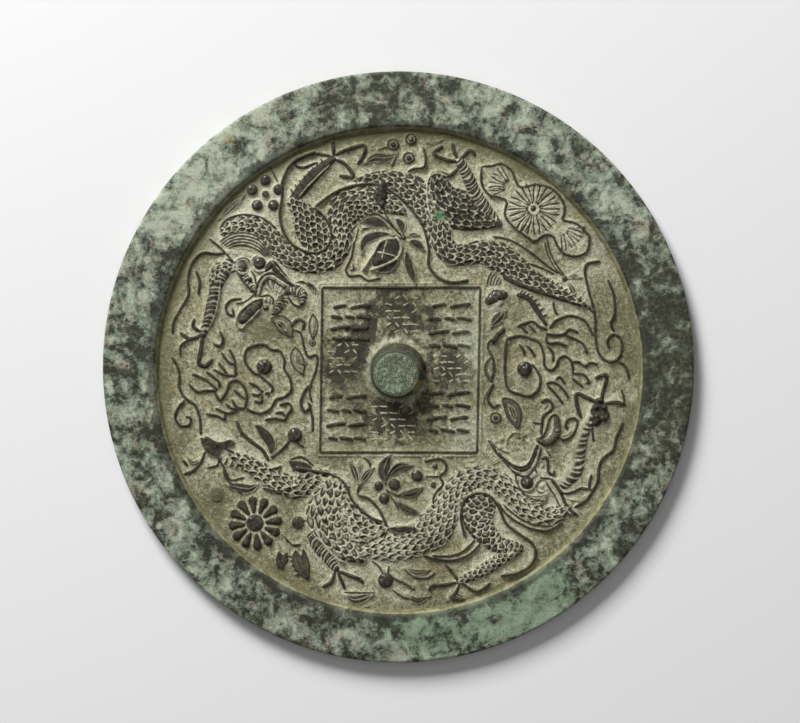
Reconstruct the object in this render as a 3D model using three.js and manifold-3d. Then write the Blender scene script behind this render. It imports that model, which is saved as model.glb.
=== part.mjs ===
// Ancient bronze mirror, lying on its polished face with the decorated back up.
// One casting: a disc with a broad flat rim, a sunk field with twin dragons
// among clouds and flowers, a square panel, and a pierced knob for the cord.
// Millimetres, +Z up, +Y towards the top of the design, polished face on z = 0.

import * as THREE from "three";
import { mergeVertices } from "three/addons/utils/BufferGeometryUtils.js";
import Module from "manifold-3d";

// ---- Driving dimensions ----------------------------------------------------

const MIRROR_R = 110; // outer radius of the disc
const FACE_EDGE = 0.8; // worn bevel round the polished face
const RIM_TOP = 6.2; // flat top of the rim
const RIM_ROUND = 1.1; // softened outer corner of the rim
const FIELD = 3.4; // level of the sunk field
const FIELD_R = 89.6; // radius at the foot of the rim's inner wall
const LIP_R = 91.0; // radius at the top of that wall
const FIELD_CENTRE = [0.2, -1.25]; // the field was set a little low in the disc
const DESIGN_Y = -0.55; // and the design with it
const DISC_SIDES = 72;

const BURIED = 0.5; // every raised form starts this far below the field
const BODY_RISE = 1.95; // dragons' bodies
const LIMB_RISE = 2.15; // haunches and legs
const HEM_RISE = 2.25; // raised hem along the bodies
const CLAW_RISE = 1.5;
const LEAF_RISE = 1.35;
const LINE_RISE = 1.25; // cloud lines and stems
const LINE_HALF = 0.8; // their half width
const CLAW_HALF = 1.05;
const TIP = 0.45; // ends of a line shrink to this share of its size
const BEND_STEP = THREE.MathUtils.degToRad(60); // most that a line turns at one facet

const KNOB_PLACE = [-0.4, -1.35];
const KNOB_R = 10.6;
const KNOB_TOP = 11.8;
const KNOB_FLAT_R = 6.4;
const KNOB_SIDES = 20;
const TUNNEL_W = 6.4; // cord hole through the knob, along X
const TUNNEL_H = 5.4;
const PANEL_CORNERS = [[-28.4, 30.2], [30.4, 30.2], [29.2, -31.2], [-29.2, -31.2]];
const PANEL_RISE = 1.1;
const PANEL_HALF = 0.75;
const MARK_HALF = 0.85; // bold strokes in the corners of the panel
const MARK_RISE = 0.9;
const MARK_TILT = 0.16; // each row of strokes leans, in radians

const wasm = await Module();
wasm.setup();

// ---- Solids ----------------------------------------------------------------

/** Closed geometry as a solid that can be joined and cut. */
function toSolid(geometry) {
  const bare = geometry.clone();
  bare.deleteAttribute("normal");
  bare.deleteAttribute("uv");
  const merged = mergeVertices(bare, 1e-4);
  return new wasm.Manifold(new wasm.Mesh({
    numProp: 3,
    vertProperties: new Float32Array(merged.attributes.position.array),
    triVerts: new Uint32Array(merged.index.array),
  }));
}

/** Solid back to a geometry with flat facets. */
function toGeometry(solid) {
  const mesh = solid.getMesh();
  const geometry = new THREE.BufferGeometry();
  geometry.setAttribute("position", new THREE.BufferAttribute(mesh.vertProperties, 3));
  geometry.setIndex(new THREE.BufferAttribute(mesh.triVerts, 1));
  geometry.computeVertexNormals();
  return geometry;
}

/** Solid of revolution about +Z from [radius, height] pairs, lowest first. */
function turned(profile, sides, [x, y] = [0, 0]) {
  const points = profile.map(([radius, height]) => new THREE.Vector2(radius, height));
  const geometry = new THREE.LatheGeometry(points, sides);
  geometry.rotateX(Math.PI / 2);
  geometry.translate(x, y, 0);
  return toSolid(geometry);
}

/** Closed skin over rings of equal length, with flat ends. */
function skinned(positions, around, rings) {
  const index = [];
  for (let ring = 0; ring < rings - 1; ring += 1) {
    for (let point = 0; point < around; point += 1) {
      const a = ring * around + point;
      const b = ring * around + ((point + 1) % around);
      index.push(a, a + around, b, b, a + around, b + around);
    }
  }
  const last = (rings - 1) * around;
  for (let point = 1; point < around - 1; point += 1) {
    index.push(0, point, point + 1);
    index.push(last, last + point + 1, last + point);
  }
  const geometry = new THREE.BufferGeometry();
  geometry.setAttribute("position", new THREE.Float32BufferAttribute(positions, 3));
  geometry.setIndex(index);
  return geometry;
}

// ---- Raised lines and forms ------------------------------------------------

// Cross-sections from right to left: share of the half width, share of the rise.
const ROOF = [[-1, 0], [0, 1], [1, 0]];
const DOME = [[-1, 0], [-0.74, 0.74], [0, 1], [0.74, 0.74], [1, 0]];
const MOUND = [[-1, 0], [-0.5, 0.96], [0.5, 0.96], [1, 0]];
const MOUND_HALF = 3.5; // forms narrower than this need no crest
const LEAF_MARKS = [0, 0.28, 0.7, 1]; // a leaf's facets, as shares of its length
const SMALL_LEAF_MARKS = [0, 0.5, 1];
const SMALL_LEAF_HALF = 1.65; // leaves up to this half width have fewer facets
const PETAL_SHARES = [0.6, 1.3, 0.7]; // a petal's width at its foot, its belly and its tip

/** Smooth line through a few places on the field. */
function route(places) {
  return new THREE.SplineCurve(places.map(([x, y]) => new THREE.Vector2(x, y + DESIGN_Y)));
}

/** Marks along a route from 0 to 1, one for each turn of BEND_STEP. */
function bendMarks(curve) {
  const steps = 8 * curve.points.length;
  const marks = [];
  let bend = 0;
  let before = curve.getTangent(0);
  for (let step = 1; step < steps; step += 1) {
    const ahead = curve.getTangent(step / steps);
    bend += before.angleTo(ahead);
    before = ahead;
    if (bend < BEND_STEP) continue;
    marks.push(step / steps);
    bend = 0;
  }
  return [0, ...marks, 1];
}

/** Value at t along a list of values set at even steps. */
function along(values, t) {
  const place = t * (values.length - 1);
  const low = Math.min(Math.floor(place), values.length - 2);
  return THREE.MathUtils.lerp(values[low], values[low + 1], place - low);
}

/** Section carried along a route; size(t) gives its half width and rise. */
function swept(curve, marks, section, size) {
  const positions = [];
  for (const t of marks) {
    const middle = curve.getPoint(t);
    const ahead = curve.getTangent(t);
    const [half, rise] = size(t);
    for (const [side, share] of section) {
      const reach = half * side;
      const level = share === 0 ? -BURIED : rise * share;
      positions.push(middle.x - ahead.y * reach, middle.y + ahead.x * reach, FIELD + level);
    }
  }
  return toSolid(skinned(positions, section.length, marks.length));
}

/** Raised line with tapered ends. */
function line(places, half = LINE_HALF, rise = LINE_RISE) {
  const curve = route(places);
  const marks = bendMarks(curve);
  const flare = (rise + BURIED) / rise;
  return swept(curve, marks, ROOF, (t) => {
    const share = marks.length > 2 && (t === 0 || t === 1) ? TIP : 1;
    return [half * share * flare, rise * share];
  });
}

/** Full rounded form, its half width given at each place. */
function form(places, halves, rise = BODY_RISE) {
  const marks = halves.map((_, place) => place / (halves.length - 1));
  const section = Math.max(...halves) < MOUND_HALF ? MOUND : DOME;
  return swept(route(places), marks, section, (t) => [along(halves, t), rise]);
}

/** Leaf or petal: widest in the middle, pointed at both ends. */
function leaf(places, half, rise = LEAF_RISE) {
  const curve = route(places);
  const marks = half <= SMALL_LEAF_HALF ? SMALL_LEAF_MARKS : LEAF_MARKS;
  return swept(curve, marks, ROOF, (t) => {
    const share = Math.max(0.12, Math.sin(Math.PI * t) ** 0.75);
    return [half * share * 1.25, rise * Math.max(share, 0.4)];
  });
}

/** Toe or talon of a claw. */
function toe(places, half = CLAW_HALF) {
  return line(places, half, CLAW_RISE);
}

/** Round boss. */
function boss(x, y, radius, rise, sides = radius < 2.5 ? 6 : 8) {
  const profile = [[0, FIELD - BURIED], [radius, FIELD - BURIED], [radius * 0.8, FIELD + rise * 0.7],
    [0, FIELD + rise]];
  return turned(profile, sides, [x, y + DESIGN_Y]);
}

// ---- Upper dragon ----------------------------------------------------------

/** Bodies, neck and tail, with the raised hems that part them. */
function upperBody() {
  return [
    form([[-16, 70.2], [-8, 71.2], [-1, 69.5], [5.5, 66], [11, 60], [14.5, 53], [16, 47], [20, 42.6], [26, 42.5],
      [31, 43.4], [37, 41.5], [43, 37.8], [48, 34.2], [54, 31], [61, 27.4], [70.5, 23]],
    [0.9, 2.6, 4.4, 6.4, 6.8, 5.8, 4.8, 4.4, 4.3, 4.7, 6.0, 5.2, 3.8, 3.0, 2.4, 0.8]),
    form([[-64.5, 51], [-60, 53.4], [-54, 53.6], [-49, 50], [-44.5, 45.2], [-39, 41.2], [-32, 39.4], [-26, 41],
      [-22.2, 46], [-22, 53], [-18.5, 60], [-11.5, 62.6], [-4, 61.2], [1.5, 58.4]],
    [2.2, 3.4, 3.8, 4.2, 4.6, 4.6, 4.2, 4.8, 4.8, 5.8, 7.4, 6.2, 4.2, 1.6]),
    line([[-31, 80.6], [-39, 77.2], [-43, 70.5], [-43.4, 63.5], [-44.3, 57], [-42.4, 50], [-38.4, 45.4], [-32, 42.9],
      [-27.2, 44.6], [-24.9, 50], [-27.4, 56], [-31.5, 60]], LINE_HALF, HEM_RISE),
    line([[-31, 60.2], [-25, 64.8], [-18, 67.8], [-9, 68.6], [-2, 65.4], [4, 60.2], [9, 53], [11.2, 45], [11.3, 38.4],
      [15, 33.8], [20.5, 32], [26, 33]], LINE_HALF, HEM_RISE),
    line([[-66.5, 52], [-64, 55.4], [-58, 57.2], [-51, 56], [-45.6, 52]], LINE_HALF, 1.7),
  ];
}

/** Haunch, leg and claw behind, and the raised foreleg in front. */
function upperLegs() {
  return [
    form([[13, 63.5], [18, 61.5], [24, 58.5], [30, 56], [37, 53.8]], [6.5, 9.0, 7.8, 4.6, 1.4], LIMB_RISE),
    form([[37, 54], [31.6, 60], [28.2, 66], [25.8, 71.5], [22.8, 77]], [1.6, 3.0, 2.5, 2.4, 1.9], LIMB_RISE),
    toe([[22.6, 77], [18, 77.6], [13.2, 80], [16.4, 82.8]]),
    toe([[22, 78], [20.6, 81], [20, 84]]),
    toe([[23.4, 78], [26.4, 81.2], [28.6, 79.4]]),
    toe([[22.8, 75], [19, 71.8], [16.2, 73.2]]),
    form([[-30.8, 50], [-33, 53.5], [-36, 58.4], [-39.4, 62]], [6.8, 6.4, 4.2, 2.3], LIMB_RISE),
    form([[-39.4, 62], [-36, 66.6], [-32, 71.4], [-28, 75.2], [-24.6, 77.8]], [2.2, 2.9, 3.0, 2.2, 1.5], LIMB_RISE),
    toe([[-24, 78.6], [-31, 80], [-37, 77.8], [-38.6, 76], [-35.5, 74.8], [-30, 76.8]], 0.85),
    toe([[-24, 79], [-24.4, 83], [-24.2, 86.6], [-19.8, 87.4]]),
    toe([[-23.6, 79.4], [-19, 81.6], [-13, 83], [-13, 79.4], [-15.2, 76.2]]),
    toe([[-23.4, 77.8], [-19.8, 76], [-16.8, 71.4], [-22, 71.8]]),
    form([[-63, 38.5], [-66.4, 35], [-68.2, 30], [-69.4, 24], [-70.8, 18], [-73, 12.5]],
      [2.6, 3.4, 2.4, 2.3, 1.9, 1.4]),
    toe([[-73.4, 12.4], [-77.5, 11], [-81.4, 13.4]]),
    toe([[-74, 11.4], [-78, 10.6], [-81, 8.6], [-81.2, 5]], 0.7),
    toe([[-73, 11.6], [-73.6, 6.8], [-74.4, 2.2], [-72, 0.8], [-69.2, 3.4]]),
    toe([[-73.4, 13.4], [-76.4, 15.6], [-76, 18.6]]),
    toe([[-69, 9.2], [-66.6, 8.4], [-65.4, 10.6], [-66.6, 14]], 0.8),
  ];
}

/** Head in profile, looking down to the right, with its whiskers. */
function upperHead() {
  return [
    form([[-63.4, 43.6], [-58.6, 43.6], [-54, 43], [-50.4, 42.4]], [1.6, 2.6, 2.8, 2.4], 1.6),
    form([[-60.6, 38.4], [-58, 36], [-56, 32.4], [-53.4, 29.4]], [2.2, 3.2, 3.0, 2.0], 1.3),
    boss(-58.2, 38.2, 2.6, 1.9),
    boss(-51.6, 39.2, 2.6, 2.6),
    form([[-47, 39.6], [-45.6, 36.6], [-42.4, 33.2], [-39.4, 30.6]], [1.0, 1.8, 1.5, 1.0], 2.1),
    line([[-53.2, 26.6], [-52.4, 30.6], [-50.6, 34.4], [-47.6, 35.6], [-44.6, 34], [-41.6, 31.6]], LINE_HALF, 2.2),
    form([[-42, 29.4], [-38.6, 29.4], [-35.8, 27.2], [-35.8, 24.4]], [1.2, 1.9, 1.6, 0.8]),
    leaf([[-43.2, 25.4], [-45.2, 22.4], [-47, 19.8]], 1.5),
    form([[-52, 24], [-55.4, 21.4], [-58.2, 17.8]], [1.8, 2.6, 2.0], 1.8),
    line([[-58.4, 26], [-62, 25.6], [-64.2, 23.4], [-63.6, 20.4], [-61.4, 19.8]]),
    line([[-70.6, 48.4], [-66, 44.6], [-61.4, 39.6]], 0.7),
    line([[-64, 43], [-68, 42.6], [-73, 43], [-77, 39.2], [-78.4, 33], [-78.2, 27.6], [-81, 22.4], [-84.2, 13]]),
    line([[-75.6, 36.4], [-74.1, 32.4], [-74.6, 27.6]]),
  ];
}

// ---- Lower dragon ----------------------------------------------------------

/** Bodies, neck and tail, with the raised hems that part them. */
function lowerBody() {
  return [
    form([[62.5, -52], [58, -54.6], [52, -54.4], [46, -50.6], [41, -45.4], [35.5, -41.6], [29, -40.4], [23.6, -43],
      [20, -48], [17.2, -54], [12.6, -60.5], [6, -64.5], [-1, -67.2], [-6.4, -68]],
    [2.0, 3.6, 4.2, 4.2, 4.2, 4.4, 4.6, 4.6, 5.0, 6.2, 7.2, 5.8, 3.6, 1.4]),
    form([[-5.4, -58], [-11, -58.6], [-17, -53.6], [-21, -47.6], [-26, -42.6], [-32, -42], [-38, -44.4],
      [-44.4, -42.6], [-50, -39.2], [-56, -35.6], [-63, -31.4], [-72.6, -26.4]],
    [0.9, 3.0, 6.0, 7.0, 5.6, 4.4, 4.2, 4.4, 4.0, 3.2, 2.6, 1.0]),
    line([[24.6, -62.4], [23.2, -55], [24.6, -49], [29, -46.6], [34, -47.6], [37.4, -52], [40, -57.6], [45, -61.6],
      [49.6, -65], [51, -69], [49, -73.4], [44, -76.2], [38, -77.2]], LINE_HALF, HEM_RISE),
    line([[37, -50], [40, -54], [44.6, -57.4], [50, -59.8], [56, -60.2], [61, -57.2]], 0.7, 1.7),
    line([[30.5, -65.2], [26, -69.4], [20, -71.4], [13.6, -70.8], [9, -69.4]], 0.7, 1.7),
    line([[-38.6, -37], [-30, -38.4], [-24.4, -39.8], [-20, -43], [-17.6, -48.4], [-14, -52.6], [-9.6, -55.8],
      [-6, -57]], LINE_HALF, HEM_RISE),
    line([[-15.2, -47.2], [-11.4, -48.4], [-8, -51.6], [-6, -55], [-4.4, -58.4]], LINE_HALF, 1.6),
    line([[-72, -25.4], [-66, -28.8], [-59, -32.4], [-54, -34.4], [-48, -37.4], [-43.6, -36.4]], 0.75, 1.7),
  ];
}

/** Haunches, legs and claws. */
function lowerLegs() {
  return [
    form([[30.4, -51], [29.6, -56], [32, -61], [37.4, -65.6], [44.4, -67]], [6.0, 6.4, 4.6, 3.4, 2.2], LIMB_RISE),
    form([[44.6, -67.6], [38.6, -70.6], [33.2, -74.2], [27.6, -77.2], [22.6, -79.4]], [2.0, 2.5, 2.6, 2.0, 1.4]),
    toe([[22.4, -79.2], [20, -76], [17.4, -73]]),
    toe([[22, -79.6], [17, -80.6], [12.6, -80.8], [11.2, -82.6]]),
    toe([[22.6, -80.4], [20.8, -83.6], [21.8, -86], [25, -85.8]], 0.8),
    toe([[23.4, -79.6], [29, -83], [34, -80]], 0.8),
    form([[-26, -50], [-26.6, -56], [-24, -62], [-19.6, -67], [-14, -70.5]], [7.0, 8.6, 7.4, 5.2, 2.2], LIMB_RISE),
    form([[-32, -62.6], [-29.4, -66.6], [-26.4, -70.4], [-23.6, -74.2]], [2.2, 2.7, 2.4, 1.7]),
    toe([[-22.8, -75.4], [-19, -76.8], [-14.4, -78.6], [-13.2, -80]]),
    toe([[-23.6, -75.6], [-25, -79.4], [-28.4, -81.4]]),
    toe([[-22.6, -76], [-21, -79.6], [-20, -82]]),
    form([[62, -42.6], [65.4, -38.6], [67, -33], [68, -27.4], [70, -22], [73.4, -17], [75, -13.4]],
      [2.8, 3.4, 2.6, 2.4, 2.3, 2.0, 1.6]),
    toe([[75.4, -13.6], [76, -9.4], [77.4, -2.6], [73.2, -3.6]]),
    toe([[75, -13.4], [70.4, -11], [66.4, -9.6], [66.6, -14], [68, -18.4]]),
    toe([[76, -13.4], [81, -12.6], [84.6, -13.6]]),
    toe([[76, -14.4], [78, -17], [77, -20]]),
  ];
}

/** Head in profile, looking up to the left, with its whiskers. */
function lowerHead() {
  return [
    line([[33.6, -26.4], [35, -29.4], [38.4, -32.6], [42, -35.6], [46, -36.6], [49, -34.8], [50, -31.6],
      [51.6, -28.4]], LINE_HALF, 2.1),
    line([[39, -34.4], [42.6, -37.6], [46.6, -38.8], [50, -37.2], [51.6, -33.4]], 0.7, 2),
    form([[41.4, -28.6], [44, -31.6], [48, -33.4]], [3.2, 3.6, 1.8], 1),
    form([[52, -38], [54.4, -41.6], [54.6, -45], [52, -47.6]], [2.2, 3.2, 3.2, 2.0], 1.3),
    boss(48.2, -42.8, 2.7, 2.6),
    boss(53.6, -44.4, 1.6, 1.9),
    form([[51.8, -27], [55, -27.4], [58.6, -25.6]], [1.2, 1.8, 1.2], 1.8),
    line([[58.2, -26.6], [59.4, -22.6], [59, -18.6], [57.2, -17], [54.6, -19.6], [53.8, -24.6]], LINE_HALF, 1.5),
    line([[54, -17.4], [57, -15], [56.4, -12.8], [53.4, -12.6]]),
    line([[59.4, -25.6], [62, -26.6], [65, -24.6], [66.6, -20.4], [66, -18.6], [63.4, -18.8]]),
    line([[55.4, -34.4], [55.8, -38.4], [57.6, -39.6]]),
    line([[56.8, -41.6], [60.6, -46.6], [63.6, -52.4], [66.4, -55]], 0.95, 1.6),
    line([[83.4, -20], [80.8, -26.6], [80, -30.4], [76, -33.6], [74.6, -37.4], [74.2, -42], [72.4, -45.6], [70, -49],
      [65.6, -51.8]]),
  ];
}

// ---- Flowers, fruit and leaves ---------------------------------------------

/** Ring of petals round a place, each a leaf pointing outwards. */
function petals(x, y, inner, outer, count, half, rise) {
  return Array.from({ length: count }, (_, petal) => {
    const angle = (2 * Math.PI * (petal + 0.4)) / count;
    const [c, s] = [Math.cos(angle), Math.sin(angle)];
    const path = route([[x + inner * c, y + inner * s], [x + outer * c, y + outer * s]]);
    return swept(path, [0, 0.5, 1], ROOF, (t) => [half * PETAL_SHARES[2 * t], rise]);
  });
}

/** Broad lotus leaf with two smaller lobes, and the stems under it. */
function lotusLeaf() {
  const lobe = (x, y, radius) => boss(x, y, radius, LEAF_RISE, 10);
  return [
    lobe(50.4, 59.2, 10.4),
    lobe(37.6, 70, 6.4),
    lobe(65.6, 48.4, 6.4),
    lobe(44, 64.4, 5.6),
    lobe(58.8, 53.6, 5.4),
    boss(50.2, 59.6, 1.6, 2.1),
    line([[55.2, 48.4], [56.4, 43.4], [59, 38.4], [61.8, 34.6]]),
    line([[35, 49.2], [42, 47.6], [49, 43.4], [55, 38.6], [59.4, 35.4]]),
    boss(62, 33.4, 1.3, 1.3),
    leaf([[62.4, 33.4], [65, 34.4], [68.6, 33.8]], 1.2),
    leaf([[62.6, 32.6], [64.4, 30], [66.4, 26.6]], 1.4),
  ];
}

/** Fruit on its leafy spray, above the panel. */
function upperSpray() {
  return [
    form([[-9, 38.4], [-6, 42], [-2.6, 46], [-0.6, 48.4]], [1.6, 4.2, 4.4, 1.8], 2),
    leaf([[-14.2, 54.4], [-9, 54.6], [-3.4, 52.6]], 2.2),
    leaf([[-13.8, 42], [-12.4, 47.6], [-7, 49.8], [-1.6, 49.6]], 1.7, 1.6),
    leaf([[-1.2, 56], [1, 53.6], [1.6, 50]], 1.7),
    leaf([[3.4, 47.4], [6.6, 46.6], [10, 43.6]], 1.6),
    leaf([[2.8, 44.4], [4, 38], [6.6, 30.8]], 1.9),
    leaf([[-8.6, 36], [-3, 37.6], [0.4, 41]], 1.6),
    line([[-16.4, 47.6], [-17.4, 42], [-19.6, 36.6], [-18, 34.4], [-14.4, 34.6], [-11.4, 32.8], [-6.6, 33.8]]),
  ];
}

/** Plum spray and cloud below the panel, and the leaves over the coils. */
function lowerSpray() {
  return [
    leaf([[-4.8, -43], [-5.4, -37.6], [-3, -32]], 2.7, 1.6),
    leaf([[-4.4, -41.6], [-0.6, -37.2], [5.4, -36]], 2.0, 1.5),
    leaf([[0.2, -46.6], [4.6, -46.6], [9, -44]], 1.8),
    leaf([[-1.4, -49.2], [3, -52.4], [9, -54.6]], 1.6, 1.4),
    boss(-5.4, -48.4, 2.2, 1.6),
    boss(-7.4, -43.8, 1.9, 1.5),
    boss(-1.6, -43.2, 2.4, 1.8),
    boss(6.8, -40, 2.4, 1.6),
    line([[9.6, -34.6], [15.4, -33.6], [17.6, -35.6], [17.4, -38.2], [15.2, -40]]),
    line([[15.2, -40.4], [16.7, -42.8], [13.4, -47.4], [13, -52.6], [11, -54.4]]),
    leaf([[-4, -59.4], [1, -60], [5.6, -59.4]], 1.2, 2.3),
    leaf([[-18.8, -63.2], [-13, -62], [-5.4, -60.4]], 2.0, 2.6),
    leaf([[-18.2, -34.4], [-16.4, -38.6], [-15, -43.6]], 1.3),
    leaf([[-9, -36.6], [-12, -39.4], [-14.6, -43.6]], 1.3),
    form([[-6.2, 61], [-6.6, 64.6], [-5.4, 69]], [1.6, 2.3, 0.8], 2.7),
  ];
}

/** Blossoms, berries and single leaves scattered by the rim. */
function scattered() {
  return [
    ...petals(-49.4, 65, 2.2, 6.8, 5, 2.0, 1.6),
    boss(-49.4, 65, 1.6, 1.3),
    ...petals(-53, -58, 3.2, 9.8, 12, 1.45, 1.3),
    boss(-52.8, -57.4, 3.6, 1.7, 10),
    boss(-2, 83.4, 2.5, 1.7),
    boss(4.6, 85.4, 2.4, 1.7),
    boss(3.8, 78.4, 2.5, 1.7),
    leaf([[-13.2, 76], [-6.5, 78.4], [0, 80.2]], 2.1),
    line([[9.2, 82.4], [10, 78.4], [9.4, 75], [5.6, 74.4], [3.4, 73.2]], 0.7, 1.9),
    leaf([[-67.4, 55.2], [-62, 60], [-57.4, 64.6]], 1.6),
    boss(-67.6, -46.4, 3.6, 1.9),
    boss(-38.6, -24.8, 3.0, 2.3),
    boss(-37.4, -57.4, 2.4, 1.6),
    boss(-4.6, -78.6, 3.7, 2.1),
    leaf([[-64.6, -43.2], [-58, -44.6], [-51.6, -42.6]], 2.2),
    line([[-80, -39.4], [-76.4, -38], [-73.4, -34.4], [-72, -31]]),
    leaf([[-54, -20.6], [-50.6, -23.6], [-47.4, -33]], 2.0),
    line([[-60.4, -19.6], [-58.4, -24], [-54.6, -27.4], [-48.4, -34.4]], 1.0),
    line([[-47.4, -33.6], [-43, -29.6], [-40.2, -26.6]]),
    leaf([[-41, -34.4], [-37.4, -36.6], [-32, -37]], 1.9),
    leaf([[-43, -67.6], [-43.2, -71], [-44.6, -75.4]], 2.0),
    leaf([[-38.4, -67.6], [-37.6, -71.4], [-34, -78.6]], 2.6),
    leaf([[-20.4, -84], [-15, -86], [-9, -84]], 2.0),
    leaf([[2, -84], [7, -86.4], [12, -84.6]], 1.6),
    leaf([[2, -74.2], [7, -76], [12, -74.8]], 1.5),
    leaf([[18, -87], [21, -84.6], [25, -86]], 1.6),
  ];
}

// ---- Clouds, flames and vines ----------------------------------------------

/** Cloud with its pearl, flames and scrolls, left of the panel. */
function leftClouds() {
  return [
    line([[-52.4, -2.6], [-55, -0.6], [-57.3, 3], [-56.8, 6.6], [-54.4, 8.4], [-50, 8.8], [-47.4, 7], [-44.4, 6.6],
      [-42.6, 3.4], [-42.6, 0], [-40.4, -3.8], [-40, -8], [-42.4, -10.6], [-45.6, -11.6], [-47.6, -14.8],
      [-51.2, -16.7], [-55, -15.9]]),
    boss(-50, 0.6, 3.2, 2.5, 10),
    line([[-57.2, -15], [-56.6, -10], [-57.6, -6.8], [-60, -4.6], [-62.8, -5.2], [-64, -8.4], [-66.4, -11.8]]),
    line([[-66, -11.8], [-67.6, -8.4], [-72, -8.2], [-75, -8.6], [-78.2, -5.8]]),
    line([[-67.4, -8], [-69.6, -6], [-73, -3.6], [-77, -2]]),
    line([[-60.6, -2.8], [-65, -2.2], [-69, -0.4]]),
    line([[-60.6, -2.6], [-61, 1.2], [-61.2, 3.4], [-63, 7.2]]),
    line([[-61, 1.4], [-63.4, 2.4], [-66, 6]]),
    line([[-56.8, -14.6], [-60, -14.6], [-62.2, -11.4]]),
    line([[-60, -15.8], [-64, -16.6], [-68.2, -14.8]]),
    line([[-64.4, -16.4], [-65, -18.8], [-68, -17.6], [-71.8, -17]]),
    line([[-50.4, -9], [-53, -6.6], [-55.8, -5.2]]),
    line([[-47.4, -9], [-47, -7], [-49.4, -4.6], [-52.6, -1.8]]),
    line([[-44.4, -13.6], [-41, -13], [-39.9, -15], [-41.4, -17.2], [-42.6, -19.2], [-46, -18.6], [-49.8, -19.2]]),
    line([[-84.4, 4.4], [-81.8, -1], [-81.6, -7], [-79.4, -11], [-75.8, -13.8], [-73.7, -24.6]]),
    line([[-79.6, -11.8], [-82.2, -14.8], [-83.2, -18.4], [-81, -21.4], [-78, -21], [-77.4, -18.6]]),
  ];
}

/** Cloud with its pearl, flames and the tall scroll, right of the panel. */
function rightClouds() {
  return [
    line([[40.2, 11], [45, 12.2], [49, 11.2], [52.4, 9.6], [54, 5.4], [54.3, 1.4], [56.4, -0.7], [58.6, 0.6],
      [59.6, 3.4], [62, 4.6], [64.4, 2.4], [65, -2]]),
    line([[40.2, 10.6], [39.6, 5], [39.7, -3], [41, -7.8], [45, -9.5], [49, -10.2], [52.2, -7.4], [52.8, -3.6],
      [51.4, -0.6]]),
    boss(47, -0.2, 3.1, 2.5, 10),
    form([[45, 28.2], [50, 25.6], [53, 21], [55, 16.4]], [1.6, 1.9, 1.6, 0.9], 1.5),
    line([[44.2, 15.6], [46.4, 16.6], [50, 17.4], [52.4, 15.6], [55.4, 14.6]]),
    line([[56.2, 15], [59, 18], [64, 19.6], [69, 18], [72, 13.4]]),
    line([[54.8, 13], [59, 12.4], [61.8, 13], [63.6, 14.6], [66.8, 13.4]]),
    line([[62, 12.4], [65.6, 11], [68.8, 9], [70.2, 5.6]]),
    line([[55.2, 12.6], [55.4, 9.6], [59.4, 9.6], [62.6, 8.4]]),
    line([[55.2, 8.6], [57.4, 5.8], [57.6, 2.6]]),
    line([[64.6, 2.4], [67, 2.4], [69.4, 0.9], [71.6, 2.2], [74, 1.4]]),
    line([[65, -2], [68.8, -2.2], [71, -5]]),
    line([[58.6, -4.4], [60, -3.2], [62, -5.8]]),
    line([[55, -5.6], [58, -5.2], [61.4, -7.8], [63.2, -11]]),
    line([[55.2, -6], [58.4, -9.4], [61.2, -13]]),
    line([[75, 40], [70.4, 39], [69.4, 36], [70.8, 29], [73, 20.4], [73.4, 11], [74.8, 5.4], [78, 2.6], [81.4, 3.4],
      [83.2, 7.6], [82.4, 11.4], [79.6, 12.6], [77.8, 10.2]]),
    line([[78, 33], [80.2, 27], [80.4, 20.4], [79, 17], [80.2, 13.8]]),
    line([[81.4, 3], [84.6, 0.6], [86, -4]]),
  ];
}

/** Flowering vine down each side of the panel. */
function vines() {
  return [
    leaf([[-47.4, 18.6], [-43.4, 16.8], [-39.8, 12]], 2.6),
    line([[-40.2, 15.6], [-37.4, 18.2], [-35.2, 17], [-35.8, 14.2]], 0.9),
    line([[-39, 14.4], [-36.4, 13], [-33.8, 4.4], [-30.8, 5], [-31.2, -2], [-33, -6.4]]),
    leaf([[-32.2, 20], [-32, 16], [-32.2, 12]], 1.5),
    leaf([[-38.8, 7.8], [-37.4, 4], [-36.4, -1.4]], 1.4),
    line([[-33, -6], [-35.2, -9], [-36.4, -13], [-35, -16], [-32.9, -14.4]]),
    line([[-33, -14.6], [-32, -19], [-32, -23.4]], 0.6),
    form([[34, 26], [36.6, 27.2], [38.8, 28]], [1.8, 2.4, 1.2]),
    leaf([[40, 21.6], [37, 18.6], [34.2, 15.2]], 2.2),
    line([[39.4, 14.8], [36.6, 12], [35, 9.4]], 1.2),
    line([[36, 11.6], [33.4, 9.4], [33.8, 6.4], [35.2, 4]]),
    leaf([[35, 4.4], [34.2, 0], [34.6, -4.8]], 1.9),
    line([[35.4, -5.6], [33.8, -8.6], [33.4, -12], [35.4, -14.4], [37.4, -13.4]]),
    boss(36.2, -18.4, 2.4, 1.2),
    leaf([[39, -11.4], [42.6, -15.6], [44.4, -22]], 2.6),
  ];
}

// ---- Panel and knob --------------------------------------------------------

/** Raised square round the knob. */
function panelRidge() {
  const sides = PANEL_CORNERS.map((corner, side) => [corner, PANEL_CORNERS[(side + 1) % PANEL_CORNERS.length]]);
  const flare = (PANEL_RISE + BURIED) / PANEL_RISE;
  return sides.map(([from, to]) => swept(route([from, to]), [0, 1], ROOF, () => [PANEL_HALF * flare, PANEL_RISE]));
}

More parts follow.
